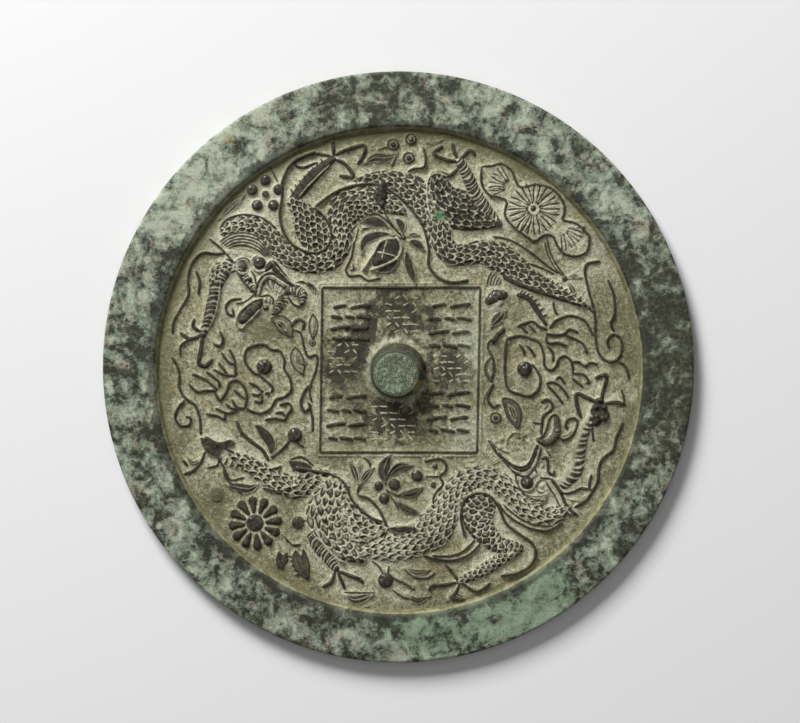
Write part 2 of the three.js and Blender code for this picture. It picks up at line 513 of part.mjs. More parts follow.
/** Rows of bold strokes in a block: plain dashes of changing length, not writing. */
function markBlock(left, top, width, rows, pitch) {
  const strokes = [];
  for (let row = 0; row < rows; row += 1) {
    const y = top - row * pitch;
    const parts = 2 + (row % 2);
    const share = width / parts;
    for (let part = 0; part < parts; part += 1) {
      const half = share * (0.26 + 0.08 * ((row + 2 * part) % 3));
      const x = left + share * (part + 0.5);
      const lean = half * MARK_TILT * (row % 2 ? -1 : 1);
      const path = route([[x - half, y - lean], [x + half, y + lean]]);
      strokes.push(swept(path, [0, 1], ROOF, () => [MARK_HALF, MARK_RISE]));
    }
  }
  return strokes;
}

/** Domed knob with a flattened top and an arched cord hole along X. */
function knob() {
  const rise = KNOB_TOP - FIELD;
  const shoulder = (angle) => {
    const turn = THREE.MathUtils.degToRad(angle);
    return [KNOB_FLAT_R + (KNOB_R - KNOB_FLAT_R) * Math.cos(turn), FIELD + rise * (0.2 + 0.76 * Math.sin(turn))];
  };
  const shoulders = [0, 30, 60, 90].map(shoulder);
  return turned([[0, FIELD - BURIED], [KNOB_R, FIELD - BURIED], ...shoulders, [0, KNOB_TOP]], KNOB_SIDES, KNOB_PLACE);
}

/** Arched prism that bores the cord hole. */
function tunnel() {
  const half = TUNNEL_W / 2;
  const outline = new THREE.Shape();
  outline.moveTo(-half, 0);
  outline.lineTo(half, 0);
  outline.lineTo(half, TUNNEL_H - half);
  outline.absarc(0, TUNNEL_H - half, half, 0, Math.PI, false);
  outline.closePath();
  const geometry = new THREE.ExtrudeGeometry(outline, { depth: 3 * KNOB_R, bevelEnabled: false, curveSegments: 6 });
  geometry.rotateX(Math.PI / 2);
  geometry.rotateZ(Math.PI / 2);
  geometry.translate(KNOB_PLACE[0] - 1.5 * KNOB_R, KNOB_PLACE[1], FIELD);
  return toSolid(geometry);
}

// ---- Disc and casting ------------------------------------------------------

/** Plain disc with its rim, before the relief. */
function disc() {
  const blank = turned([[0, 0], [MIRROR_R - FACE_EDGE, 0], [MIRROR_R, FACE_EDGE], [MIRROR_R, RIM_TOP - RIM_ROUND],
    [MIRROR_R - RIM_ROUND, RIM_TOP], [0, RIM_TOP]], DISC_SIDES);
  const draft = (LIP_R - FIELD_R) / (RIM_TOP - FIELD);
  const above = RIM_TOP + 1;
  const sunk = turned([[0, FIELD], [FIELD_R, FIELD], [FIELD_R + draft * (above - FIELD), above], [0, above]],
    DISC_SIDES, FIELD_CENTRE);
  return blank.subtract(sunk);
}

/** The whole casting. */
function casting() {
  const relief = [
    ...upperBody(), ...upperLegs(), ...upperHead(),
    ...lowerBody(), ...lowerLegs(), ...lowerHead(),
    ...lotusLeaf(), ...upperSpray(), ...lowerSpray(), ...scattered(),
    ...leftClouds(), ...rightClouds(), ...vines(),
    ...panelRidge(),
    ...markBlock(-25.6, 23, 15, 4, 4), ...markBlock(11, 23.4, 16, 4, 5),
    ...markBlock(-27, -10.6, 15, 4, 5.2), ...markBlock(10, -9.4, 16.6, 4, 4.6),
    knob(),
  ];
  return wasm.Manifold.union([disc(), ...relief]).subtract(tunnel());
}

const bronze = new THREE.MeshStandardMaterial({ color: 0x4f5240, roughness: 0.62, metalness: 0.55 });
const mirror = new THREE.Mesh(toGeometry(casting()), bronze);
mirror.name = "mirror";

const model = new THREE.Group();
model.add(mirror);

export default model;
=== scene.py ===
"""Ancient bronze mirror, back uppermost: the fine relief of the casting, its patina and the studio."""
import logging
import math
from dataclasses import dataclass, field
from enum import Enum
from typing import Callable, Sequence

import bpy
import numpy as np
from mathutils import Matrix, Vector


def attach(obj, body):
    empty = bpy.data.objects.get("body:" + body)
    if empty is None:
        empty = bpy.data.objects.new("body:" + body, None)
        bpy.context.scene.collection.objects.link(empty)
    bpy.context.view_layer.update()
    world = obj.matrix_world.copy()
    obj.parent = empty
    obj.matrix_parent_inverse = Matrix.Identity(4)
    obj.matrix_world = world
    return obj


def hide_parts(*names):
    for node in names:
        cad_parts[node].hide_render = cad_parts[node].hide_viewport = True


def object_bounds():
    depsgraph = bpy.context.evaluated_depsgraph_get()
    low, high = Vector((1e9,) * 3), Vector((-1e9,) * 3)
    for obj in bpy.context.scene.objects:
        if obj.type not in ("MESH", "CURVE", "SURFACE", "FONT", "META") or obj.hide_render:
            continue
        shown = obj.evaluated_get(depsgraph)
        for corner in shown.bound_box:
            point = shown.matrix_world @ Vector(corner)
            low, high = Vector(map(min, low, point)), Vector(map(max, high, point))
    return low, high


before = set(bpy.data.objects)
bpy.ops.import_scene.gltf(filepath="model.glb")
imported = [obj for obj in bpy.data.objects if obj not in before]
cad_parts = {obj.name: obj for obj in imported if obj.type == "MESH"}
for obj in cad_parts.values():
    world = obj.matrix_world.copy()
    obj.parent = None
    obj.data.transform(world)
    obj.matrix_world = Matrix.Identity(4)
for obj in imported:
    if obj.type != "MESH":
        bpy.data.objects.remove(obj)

CAD_LOW, CAD_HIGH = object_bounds()
LOG = logging.getLogger("bronze mirror")

MM = 0.001
Array, Piece, Socket = np.ndarray, bpy.types.Object, bpy.types.NodeSocket
Window = tuple[slice, slice]
Place = tuple[float, float]
Places = Sequence[complex]  # x + y j for every place, in millimetres
Detail = Callable[[Array, Array, Array], tuple[Array, Array]]


# ---- The relief as a height field ----

@dataclass
class DiscSizes:
    """Sizes of the casting in millimetres, taken from the frame's box where it gives them."""

    outer: float = (CAD_HIGH.x - CAD_LOW.x) / MM / 2
    knob_top: float = CAD_HIGH.z / MM
    face_edge: float = 0.8
    rim_top: float = 6.2
    rim_round: float = 1.1
    ground: float = 3.4
    ground_radius: float = 89.6
    lip_radius: float = 91.0
    field_centre: Place = (0.2, -1.25)
    design_drop: float = -0.55


def smoothstep(low: float, high: float, value: Array) -> Array:
    """Smooth rise from 0 at low to 1 at high: t squared times (3 - 2 t)."""
    t = np.clip((value - low) / (high - low), 0, 1)
    return t * t * (3 - 2 * t)


def blurred(values: Array, reach: float, step: float) -> Array:
    """Box blur down the columns and then, turned, along the rows, three times each.

    Args:
        values: Raster to blur.
        reach: Standard deviation of the Gaussian that it comes close to.
        step: Size of a cell.

    Returns:
        The blurred raster.
    """
    cells = max(1, int(round(reach / step)))
    width = 2 * cells + 1
    for _ in range(6):
        total = np.cumsum(np.pad(values, ((cells + 1, cells), (0, 0)), mode="edge"), axis=0)
        values = ((total[width:] - total[:-width]) / width).T
    return values


@dataclass
class Route:
    """What a stretch of the height field knows about a line drawn over it.

    Attributes hold, for each cell: share along the line, run along it, side distance (left is
    positive), plain distance, and the line's whole length.
    """

    window: Window
    share: Array
    run: Array
    side: Array
    gap: Array
    length: float


def smooth_line(places: Places, per_mm: float = 1.6) -> tuple[Array, Array]:
    """Uniform Catmull-Rom line through a few places.

    Each span is the cubic whose end slopes are half the chord between the neighbouring places.

    Args:
        places: Points on the line, in millimetres.
        per_mm: Steps for each millimetre of line.

    Returns:
        Points along the line and the share (0 to 1, even by span) of each.
    """
    given = np.asarray(places, complex)
    held = np.concatenate([given[:1], given, given[-1:]])
    spans = len(given) - 1
    points, shares = [], []
    for span in range(spans):
        a, b, c, d = held[span:span + 4]
        u = np.linspace(0, 1, max(3, int(abs(c - b) * per_mm)), endpoint=False)
        points.append((2 * b + (c - a) * u + (2 * a - 5 * b + 4 * c - d) * u**2
                       + (3 * b - a - 3 * c + d) * u**3) / 2)
        shares.append((span + u) / spans)
    line = np.concatenate([*points, given[-1:]])
    return np.stack([line.real, line.imag], 1), np.concatenate([*shares, [1.0]])


class ReliefField:
    """Height of the design above the ground, on a square raster of millimetre cells.

    Beside the height it holds how bare each cell is: 0 where earth clings, 1 where dark metal
    shows.
    """

    half = 93.0
    step = 0.2
    skirt = 0.55
    apron = 1.6
    untouched = 0.12

    def __init__(self) -> None:
        """Start with bare ground."""
        count = int(round(2 * self.half / self.step)) + 1
        self.axis = np.linspace(-self.half, self.half, count)
        self.x, self.y = np.meshgrid(self.axis, self.axis)
        self.height = np.zeros_like(self.x)
        self.bare = np.full_like(self.x, self.untouched)

    def window(self, low: Array, high: Array) -> Window:
        """Rows and columns of the raster between two corners."""
        columns = np.searchsorted(self.axis, (low[0], high[0]))
        rows = np.searchsorted(self.axis, (low[1], high[1]))
        return slice(*rows), slice(*columns)

    def follow(self, places: Places, reach: float) -> Route:
        """Measure the cells near a line against it.

        For every short piece of the line, each cell within reach is projected on to that piece,
        and keeps the nearest projection of all.

        Args:
            places: Points that the line runs through.
            reach: How far from the line cells are measured.

        Returns:
            The measures, cell by cell.
        """
        points, shares = smooth_line(places)
        lengths = np.hypot(*np.diff(points, axis=0).T)
        runs = np.concatenate([[0.0], np.cumsum(lengths)])
        window = self.window(points.min(0) - reach, points.max(0) + reach)
        shape = self.x[window].shape
        gap, run = np.full(shape, 1e9), np.zeros(shape)
        side, share = np.zeros(shape), np.zeros(shape)
        for index, (a, b) in enumerate(zip(points[:-1], points[1:])):
            rows, columns = self.window(np.minimum(a, b) - reach, np.maximum(a, b) + reach)
            part = (slice(max(rows.start - window[0].start, 0), rows.stop - window[0].start),
                    slice(max(columns.start - window[1].start, 0), columns.stop - window[1].start))
            x, y = self.x[window][part], self.y[window][part]
            ahead = b - a
            along = ((x - a[0]) * ahead[0] + (y - a[1]) * ahead[1]) / (ahead @ ahead + 1e-12)
            along = np.clip(along, 0, 1)
            off_x, off_y = x - a[0] - along * ahead[0], y - a[1] - along * ahead[1]
            distance = np.hypot(off_x, off_y)
            near = distance < gap[part]
            left = np.sign(ahead[0] * off_y - ahead[1] * off_x)
            gap[part] = np.where(near, distance, gap[part])
            run[part] = np.where(near, runs[index] + along * lengths[index], run[part])
            side[part] = np.where(near, left * distance, side[part])
            between = shares[index] + along * (shares[index + 1] - shares[index])
            share[part] = np.where(near, between, share[part])
        x, y = self.x[window], self.y[window]
        for past, end, way in ((share <= 0, points[0], points[1] - points[0]),
                               (share >= 1, points[-1], points[-1] - points[-2])):
            way = way / np.hypot(*way)
            run = np.where(past, run + (x - end[0]) * way[0] + (y - end[1]) * way[1], run)
            side = np.where(past, way[0] * (y - end[1]) - way[1] * (x - end[0]), side)
        return Route(window, share, run, side, gap, float(runs[-1]))

    def raise_to(self, window: Window, height: Array, bare: Array) -> None:
        """Let a form stand out of what is there already, with its own bareness."""
        above = height > self.height[window]
        self.height[window] = np.where(above, height, self.height[window])
        self.bare[window] = np.where(above, bare, self.bare[window])

    def line(self, half: float, rise: float, *lines: Places, tip: float = 1.6, bare: float = 0.95) -> None:
        """Raised lines, parabolic across, tapering at both ends, with a worn crest.

        Height is rise times (1 - q squared) to the 0.7, where q is the distance over the local
        half width. The crest is bare where q is under about a half.

        Args:
            half: Half width.
            rise: Height of the crest.
            *lines: Points that each line runs through.
            tip: Length over which an end tapers.
            bare: Bareness of the crest.
        """
        foot = min(0.08, bare)
        for places in lines:
            route = self.follow(places, half + 0.6)
            left = np.minimum(route.run, route.length - route.run) / min(tip, route.length * 0.45)
            left = np.clip(left, 0, 1)
            taper = np.sqrt(left * (2 - left) + 1e-9)
            q = route.gap / (half * (0.35 + 0.65 * taper))
            crest = rise * (0.55 + 0.45 * taper)
            height = np.where(q < 1, crest * np.clip(1 - q**2, 0, 1)**0.7, 0)
            self.raise_to(route.window, height, foot + (bare - foot) * (1 - smoothstep(0.5, 0.98, q)))

    def form(self, places: Places, halves: Sequence[float], rise: float, fullness: float = 0.5,
             detail: Detail | None = None, base: float = 0.0, bare: float = 0.45) -> None:
        """Full rounded form with its own half width at each place.

        Height is rise times (1 - q squared) to the power of fullness, plus the detail's pattern.

        Args:
            places: Points on its middle line.
            halves: Half width at each of them.
            rise: Height along the middle.
            fullness: Lower is blunter across.
            detail: Surface pattern and its bareness from run, side and share of the rise.
            base: Height that the form stands on.
            bare: Bareness where there is no pattern.
        """
        route = self.follow(places, max(halves) + 0.6)
        half = np.interp(route.share, np.linspace(0, 1, len(halves)), halves)
        q = route.gap / np.maximum(half, 1e-6)
        swell = np.clip(1 - q**2, 0, 1)**fullness
        height, shade = rise * swell, np.full_like(q, bare)
        if detail is not None:
            offset, shade = detail(route.run, route.side, swell)
            height = height + offset
        self.raise_to(route.window, np.where(q < 1, base + height, 0), shade)

    def leaf(self, places: Places, half: float, rise: float = 1.3, rib: bool = True,
             bare: float = 0.9, edged: float = 0.15) -> None:
        """Pointed leaf, widest in the middle: raised edge, sunken dark cheeks and a fine rib.

        Half width is half times the 0.75 power of sin(pi times the share of its length).

        Args:
            places: Points on its rib.
            half: Largest half width.
            rise: Height of its edge.
            rib: Whether the rib is raised.
            bare: Bareness of its cheeks.
            edged: Bareness of its edge and rib.
        """
        route = self.follow(places, half + 0.6)
        share = np.clip(route.run / route.length, 0.001, 0.999)
        local = half * np.sin(np.pi * share)**0.75 + 0.05
        q = np.abs(route.side) / local
        beyond = (route.run <= 0) | (route.run >= route.length)
        q = np.where(beyond, route.gap / 0.1, q)
        swell = np.clip(1 - q**2, 0, 1)**0.4
        inward = (local - np.abs(route.side))
        edge = np.exp(-((inward - 0.38) / 0.3)**2)
        middle = np.exp(-(route.side / 0.22)**2) if rib else 0
        ridge = np.maximum(edge, 0.8 * middle)
        height = rise * swell * (0.66 + 0.34 * ridge)
        self.raise_to(route.window, np.where(q < 1, height, 0), bare - (bare - edged) * ridge)

    def boss(self, place: complex, radius: float, rise: float, ring: bool = False,
             fullness: float = 0.5, bare: float = 1.0) -> None:
        """Round boss, with a groove round its crown if it is ringed.

        Height is rise times (1 - q squared) to the power of fullness, q being distance over radius.
        """
        middle = np.array([place.real, place.imag])
        window = self.window(middle - radius - 1, middle + radius + 1)
        q = np.hypot(self.x[window] - place.real, self.y[window] - place.imag) / radius
        height = rise * np.clip(1 - q**2, 0, 1)**fullness
        shade = bare - (bare - 0.3) * smoothstep(0.78, 1.0, q)
        if ring:
            groove = np.exp(-((q - 0.5) / 0.13)**2)
            height -= 0.4 * rise * groove
            shade = shade - 0.75 * groove
        self.raise_to(window, np.where(q < 1, height, 0), shade)

    def series(self, count: int, places: Places, steps: Places | complex, half: float, rise: float,
               bare: float = 0.95) -> None:
        """Lines side by side: from each to the next, every place moves on by its own step."""
        for index in range(count):
            self.line(half, rise, places + index * np.array(steps), bare=bare)

    def arc(self, centre: complex, radius: float, start: float, end: float, half: float, rise: float,
            bare: float) -> None:
        """Round line at one distance from a centre, a place every 30 degrees from start to end."""
        turns = np.radians(np.arange(start, end, 30))
        self.line(half, rise, centre + radius * np.exp(1j * turns), bare=bare)

    def claw(self, half: float, *toes: Places) -> None:
        """Toes and talons, with long tips."""
        self.line(half, 1.5, *toes, tip=2.5)

    def plate(self, outline: Places, rise: float, bare: float = 0.55) -> None:
        """Flat plate inside a closed smooth outline.

        A cell is inside where a ray to its right crosses the outline an odd number of times.
        """
        points, _ = smooth_line(outline)
        window = self.window(points.min(0) - 1, points.max(0) + 1)
        x, y = self.x[window], self.y[window]
        inside = np.zeros(x.shape, bool)
        for a, b in zip(points[:-1], points[1:]):
            if abs(b[1] - a[1]) > 1e-9:
                crossing = a[0] + (y - a[1]) * (b[0] - a[0]) / (b[1] - a[1])
                inside ^= ((a[1] > y) != (b[1] > y)) & (x < crossing)
        self.raise_to(window, np.where(inside, rise, 0), np.full(x.shape, bare))

    def settle(self) -> None:
        """Run a soft skirt of metal and earth round every form, as the mould left it.

        The skirt is the design blurred; it stays wherever it is over the ground beside a form.
        """
        skirt, apron = (blurred(self.height, reach, self.step) for reach in (self.skirt, self.apron))
        soft = 0.62 * skirt + 0.3 * apron
        above = soft > self.height
        fine, coarse = value_noise(self.x, self.y, 1.3, 11), value_noise(self.x, self.y, 3.1, 12)
        rough = 0.3 * fine + 0.2 * coarse - 0.25
        self.height = np.maximum(self.height, soft) * (1 + 0.5 * rough * smoothstep(0.2, 1.0, self.height))
        self.bare = np.where(above & (self.bare > 0) & (self.bare < 0.2), 0.03, self.bare)


def fish_scales(pitch: float, across: float, depth: float, back: bool = False,
                worn: float = 0.0) -> Detail:
    """Overlapping scales in staggered rows, each with a raised edge round a hollow with painted shade.

    Each scale is the half round r under 1, r squared being (along over 1.3 rows) squared plus
    (1.75 across) squared, and lies over the scales behind it. Its edge stands up where r passes
    0.83 and the hollow inside deepens towards it, made barer and darker there as painted shade.

    Args:
        pitch: Distance between rows along the body.
        across: Distance between scales in a row.
        depth: Height from the bottom of a hollow to the edge.
        back: Whether the free edges face the start of the line.
        worn: Added bareness, for bodies that are rubbed dark.

    Returns:
        The pattern.
    """
    def pattern(run: Array, side: Array, swell: Array) -> tuple[Array, Array]:
        """Added height and bareness, row by row from the nearest one."""
        along = run * (-1 if back else 1) / pitch + 0.14 * np.sin(1.7 * side + 0.9 * run)
        sway = side / across + 0.1 * np.sin(1.3 * run + 0.8 * side)
        first = np.floor(along) - 1
        edge, hollow = np.zeros(run.shape), np.zeros(run.shape)
        open_cells = np.ones(run.shape, bool)
        for row in (first, first + 1):
            off_side = sway - 0.5 * np.mod(row, 2)
            off_side = off_side - np.round(off_side)
            reach = np.sqrt(((along - row) / 1.3)**2 + (1.75 * off_side)**2)
            held = open_cells & (reach < 1)
            rim = smoothstep(0.74, 0.92, reach)
            edge = np.where(held, rim, edge)
            hollow = np.where(held, (1 - rim) * (0.45 + 0.55 * smoothstep(0.3, 0.7, reach)), hollow)
            open_cells &= ~held
        edge = np.where(open_cells, 0.5, edge)
        inside = smoothstep(0.1, 0.4, swell)
        height = depth * (0.55 * edge - 0.6 * hollow + 0.12) * inside
        # painted shade: bareness climbs in each hollow, most just inside the edge, so the recess reads dark
        # over its metal
        shade = np.clip(0.2 + 0.72 * hollow - 0.15 * edge + worn, 0, 1)
        return height, shade * inside + 0.4 * (1 - inside)
    return pattern


def belly_ribs(pitch: float, depth: float, worn: float = 0.0, lean: float = 0.0) -> Detail:
    """Dark ribs across a limb, bent forward in the middle, with earth in the grooves between.

    The rib's rise is |sin(pi (run + bend) / pitch)| to the 0.75.
    """
    def pattern(run: Array, side: Array, swell: Array) -> tuple[Array, Array]:
        """Added height and bareness."""
        bend = 1.3 * swell + 0.25 * side + 0.3 * np.sin(1.1 * run) + 0.18 * np.sin(2.3 * run + side)
        rise = np.abs(np.sin(np.pi * (run + bend) / pitch))**0.75
        inside = smoothstep(0.15, 0.5, swell) * smoothstep(-1.6, 0.4, lean * side + 0.4)
        shade = 0.1 + 0.8 * smoothstep(0.45, 0.8, rise)
        return depth * (rise - 0.7) * inside, np.clip(shade * inside + 0.5 * (1 - inside) + worn, 0, 1)
    return pattern


# ---- The dragons ----

@dataclass
class Motif:
    """Part of the design, with the raster that it is drawn on."""

    relief: ReliefField

    def __post_init__(self) -> None:
        """Take over the raster's ways of drawing."""
        cast = self.relief
        self.line, self.form, self.leaf, self.boss = cast.line, cast.form, cast.leaf, cast.boss
        self.series, self.arc, self.claw, self.plate = cast.series, cast.arc, cast.claw, cast.plate


@dataclass
class UpperDragon(Motif):
    """The dragon over the panel: head at the left, tail at the right."""

    def draw(self) -> None:
        """Draw every part of it."""
        self.bodies()
        self.hind_leg()
        self.raised_foreleg()
        self.lowered_foreleg()
        self.mane()
        self.head()
        self.whiskers()

    def bodies(self) -> None:
        """Front and rear bodies with the hems that part them."""
        # rear body, from behind the bud over the top, down to the tail
        self.form([-16+70.2j, -8+71.2j, -1+69.5j, 5.5+66j, 11+60j, 14.5+53j, 16+47j, 20+42.6j, 26+42.5j,
            31+43.4j, 37+41.5j, 43+37.8j, 48+34.2j, 54+31j, 61+27.4j, 70.5+23j], [0.8, 2.4, 4.2, 6.2, 6.6,
            5.6, 4.6, 4.3, 4.2, 4.6, 6, 5.2, 3.8, 3, 2.4, 0.8], 1.75,
            detail=fish_scales(2.9, 2, 0.6, worn=0.15))
        # front body and neck
        self.form([-64.5+51j, -60+53.4j, -54+53.6j, -49+50j, -44.5+45.2j, -39+41.2j, -32+39.4j, -26+41j,
            -22.2+46j, -22+53j, -18.5+60j, -11.5+62.6j, -4+61.2j, 1.5+58.4j], [2.2, 3.4, 3.8, 4.2, 4.6, 4.6,
            4.2, 4.8, 4.8, 5.8, 7.4, 6.2, 4.2, 1.6], 1.75, detail=fish_scales(2.6, 2, 0.6, worn=0.12))
        self.line(0.72, 2.3, [-31+80.6j, -39+77.2j, -43+70.5j, -43.4+63.5j, -44.3+57j, -42.4+50j,
            -38.4+45.4j, -32+42.9j, -27.2+44.6j, -24.9+50j, -27.4+56j, -31.5+60j])
        self.series(13, [46+36j, 46.3+37.8j, 47.1+38.7j], 1.75-0.98j, 0.42, 1.6, 0.85)
        self.line(1.3, 1.9, [39+34.2j, 46+30.9j, 54+28.2j, 62+25.6j, 69.6+23.4j])
        self.line(0.72, 2.1, [-31+60.2j, -25+64.8j, -18+67.8j, -9+68.6j, -2+65.4j, 4+60.2j, 9+53j, 11.2+45j,
            11.3+38.4j, 15+33.8j, 20.5+32j, 26+33j])

    def hind_leg(self) -> None:
        """Haunch, shank and claw."""
        # thigh
        self.form([14.4+70.4j, 16.2+64j, 21+59.4j, 28+56.4j, 36.6+54j], [3.2, 6.6, 8.2, 5.6, 1.5], 2.1,
            fullness=0.45, detail=fish_scales(3.5, 2.1, 0.65, worn=0.32))
        self.line(0.45, 2.3, [18.4+71.6j, 14+72.6j, 11.2+70.6j, 10.6+66j, 11+60j, 12.6+55.6j], bare=0.25)
        # shank
        self.form([37+54j, 31.6+60j, 28.2+66j, 25.8+71.5j, 22.8+77j], [1.6, 2.9, 2.4, 2.3, 1.9], 1.9,
            detail=belly_ribs(1.55, 0.5, worn=0.15))
        self.claw(1, [22.6+77j, 18+77.6j, 13.2+80j, 16.4+82.8j], [22+78j, 20.6+81j, 20+84j],
            [23.4+78j, 26.4+81.2j, 28.6+79.4j], [22.8+75j, 19+71.8j, 16.2+73.2j])

    def raised_foreleg(self) -> None:
        """Shoulder, arm and spread claw."""
        # shoulder
        self.form([-30.8+50j, -33+53.5j, -36+58.4j, -39.4+62j], [6.8, 6.4, 4.2, 2.3], 2.1, fullness=0.45,
            detail=fish_scales(2.3, 2.3, 0.55, worn=0.18))
        self.form([-39.4+62j, -36+66.6j, -32+71.4j, -28+75.2j, -24.6+77.8j], [2, 2.4, 2.4, 1.9, 1.4], 1.9,
            bare=0.86)
        self.line(0.34, 2.2, [-37.4+63.6j, -33+68.6j, -29+72.6j, -25.4+76j], bare=0.15)
        self.series(8, [-38.4+64.7j, -39.6+65.8j, -40.1+67.1j], 1.6+1.6j, 0.5, 1.9)
        self.claw(0.8, [-24+78.6j, -31+80j, -37+77.8j, -38.6+76j, -35.5+74.8j, -30+76.8j])
        self.claw(1, [-24+79j, -24.4+83j, -24.2+86.6j, -19.8+87.4j],
            [-23.6+79.4j, -19+81.6j, -13+83j, -13+79.4j, -15.2+76.2j],
            [-23.4+77.8j, -19.8+76j, -16.8+71.4j, -22+71.8j])

    def lowered_foreleg(self) -> None:
        """Leg and claw that reach down by the rim."""
        self.form([-63+38.5j, -66.4+35j, -68.2+30j, -69.4+24j, -70.8+18j, -73+12.5j],
            [2.6, 3.4, 2.4, 2.3, 1.9, 1.4], 1.8, detail=belly_ribs(1.8, 0.45, worn=0.3))
        self.form([-59.6+37.2j, -63.4+37.8j, -67+36.4j, -68.6+33j], [1.6, 2.6, 3, 2.4], 1.85,
            detail=fish_scales(1.9, 1.7, 0.45, worn=0.1))
        self.line(0.35, 1.9, [-66.2+34.6j, -66.4+31j, -66.8+26.4j, -68.2+20.4j, -70.6+14.6j], bare=0.3)
        self.line(0.35, 1.7, [-71+34.4j, -70.6+29j, -72+22.6j, -73+17j], bare=0.3)
        self.claw(1, [-73.4+12.4j, -77.5+11j, -81.4+13.4j])
        self.claw(0.6, [-74+11.4j, -78+10.6j, -81+8.6j, -81.2+5j])
        self.claw(1.2, [-73+11.6j, -73.6+6.8j, -74.4+2.2j, -72+0.8j, -69.2+3.4j])
        self.claw(1, [-73.4+13.4j, -76.4+15.6j, -76+18.6j])
        self.claw(0.8, [-69+9.2j, -66.6+8.4j, -65.4+10.6j, -66.6+14j])

    def mane(self) -> None:
        """Locks behind the brow."""
        self.line(0.72, 1.5, [-66.5+52j, -64+55.4j, -58+57.2j, -51+56j, -45.6+52j])
        self.series(5, [-66.6+47.4j, -62.6+49.8j, -57.6+50.6j, -51.6+48.6j, -46.8+42.4j],
            [0.8-0.7j, 0.4-1j, 0.1-1.15j, -0.3-1.05j, -0.75-0.2j], 0.5, 1.8, 0.8)
        self.series(3, [-61.6+45.2j, -57.6+45.6j, -54.4+44.8j], [0.7-0.95j, 0-1j, -0.5-0.95j], 0.4, 1.3,
            0.55)

    def head(self) -> None:
        """Head in profile, looking down to the right."""
        self.brow()
        self.muzzle()
        self.jaws()

    def brow(self) -> None:
        """Forehead, ear, eye and brow ridge."""
        self.form([-63.4+43.4j, -58.6+43j, -55.4+42j], [1.2, 1.8, 1.2], 1.3, bare=0.15)
        self.form([-60.6+38.6j, -58.6+36j, -56.4+32.4j, -53.8+29.2j], [1.4, 1.8, 1.7, 1.3], 1.2,
            detail=belly_ribs(1.3, 0.3, worn=0.05))
        self.line(0.6, 1.8, [-63.4+41.2j, -60.6+38.6j, -59.2+34.6j, -57+31.4j, -54.6+29.2j])
        self.boss(-57.9+38j, 1.9, 1.9, bare=0.8)
        self.arc(-57.9+38j, 2.55, 20, 300, 0.35, 1.9, 0.1)
        self.arc(-57.9+38j, 3.2, 20, 300, 0.4, 1.9, 0.85)
        self.boss(-55.4+33.2j, 1, 1.9)
        self.boss(-54.6+29j, 0.9, 1.8)
        self.line(0.5, 1.6, [-55+36.6j, -53.6+34.2j, -53+31j])
        self.boss(-51.7+39.2j, 2.6, 2.6)
        self.arc(-51.7+39.2j, 3.15, 110, 380, 0.42, 1.9, 0.1)
        self.form([-49.4+36.6j, -47+38.8j, -45.2+36.6j, -42.4+33.6j, -39.4+31j], [0.8, 1.5, 1.7, 1.3, 0.8],
            2.1, bare=0.9)
        self.line(0.4, 2.1, [-47.4+40j, -44.6+36.8j, -41.4+33.4j, -38.6+31.2j], bare=0.2)

    def muzzle(self) -> None:
        """Curled lips, nose and the short whiskers on it."""
        for curl, (half, bare) in enumerate(((0.75, 0.95), (0.42, 0.1), (0.55, 0.9))):
            inward = 1.15 * curl * np.array([0.7, 0.8, 0.6-0.5j, -1j, -0.2-1j, -0.3-1j])
            self.line(half, 2.1 - 0.12 * curl, inward + [-53.4+26.8j, -52.6+30.8j, -50.6+34.2j, -47.4+35.5j,
                -44.2+33.8j, -40.8+31.6j], bare=bare)
        self.form([-41.6+29.2j, -38.4+29j, -36+27.2j, -36.2+24.6j], [1.2, 2.4, 2.2, 1.2], 1.9,
            detail=belly_ribs(1, 0.35, worn=0.15))
        self.line(0.45, 1.3, [-41+27j, -39.6+24.4j, -36.8+23.2j, -34.8+24.8j])
        self.boss(-41.8+28.4j, 0.9, 2.1)
        self.series(5, [-38.4+31.8j, -36+32.6j, -34+31.2j, -33.2+29.2j],
            [1.15+0.1j, 1.15-0.5175j, 1.035-0.805j, 0.69-0.69j], 0.28, 0.95)

    def jaws(self) -> None:
        """Mouth with tongue and teeth, lower jaw and beard."""
        self.form([-50.4+30.6j, -46.2+31j, -42.8+28j, -43.2+23.6j], [1.4, 2.8, 2.8, 1.6], 0.95,
            detail=belly_ribs(1.4, 0.2, worn=-0.2))
        self.form([-43.6+26.2j, -45+23j, -46.8+20.6j], [1.2, 1.9, 0.9], 1.3,
            detail=belly_ribs(1, 0.3, worn=0.1))
        self.line(0.35, 1.3, [-43.4+27.8j, -42.6+24.4j, -44.4+21.2j, -46.8+19.8j])
        self.line(0.5, 1.5, [-51.4+26.6j, -48.8+27.4j, -46.8+26j, -47+24j])
        self.form([-49.6+26j, -49.6+25.2j], [0.7, 0.5], 1.5, bare=0.05)
        self.form([-48.2+26j, -48.2+24.8j], [0.7, 0.5], 1.5, bare=0.05)
        self.boss(-49.4+22.6j, 1.2, 1.2)
        self.form([-52+24.2j, -55.2+21.6j, -58+18.2j], [1.7, 2.3, 1.8], 1.8,
            detail=belly_ribs(0.9, 0.2, worn=0.45))
        self.line(0.45, 1.9, [-50.6+26.2j, -54.4+25j, -59+21.2j, -60.6+17.2j, -58.8+14.8j, -57+16j],
            bare=0.4)
        self.line(0.4, 1.7, [-51.4+22j, -54.6+18.6j, -57.4+16j], bare=0.3)
        self.line(0.7, 1.2, [-58.4+26j, -62+25.6j, -64.2+23.4j, -63.6+20.4j, -61.4+19.8j, -62+22.4j])
        self.line(0.5, 1.2, [-60.6+24.2j, -57.4+24.8j, -54.6+26.8j, -53.6+28.6j])

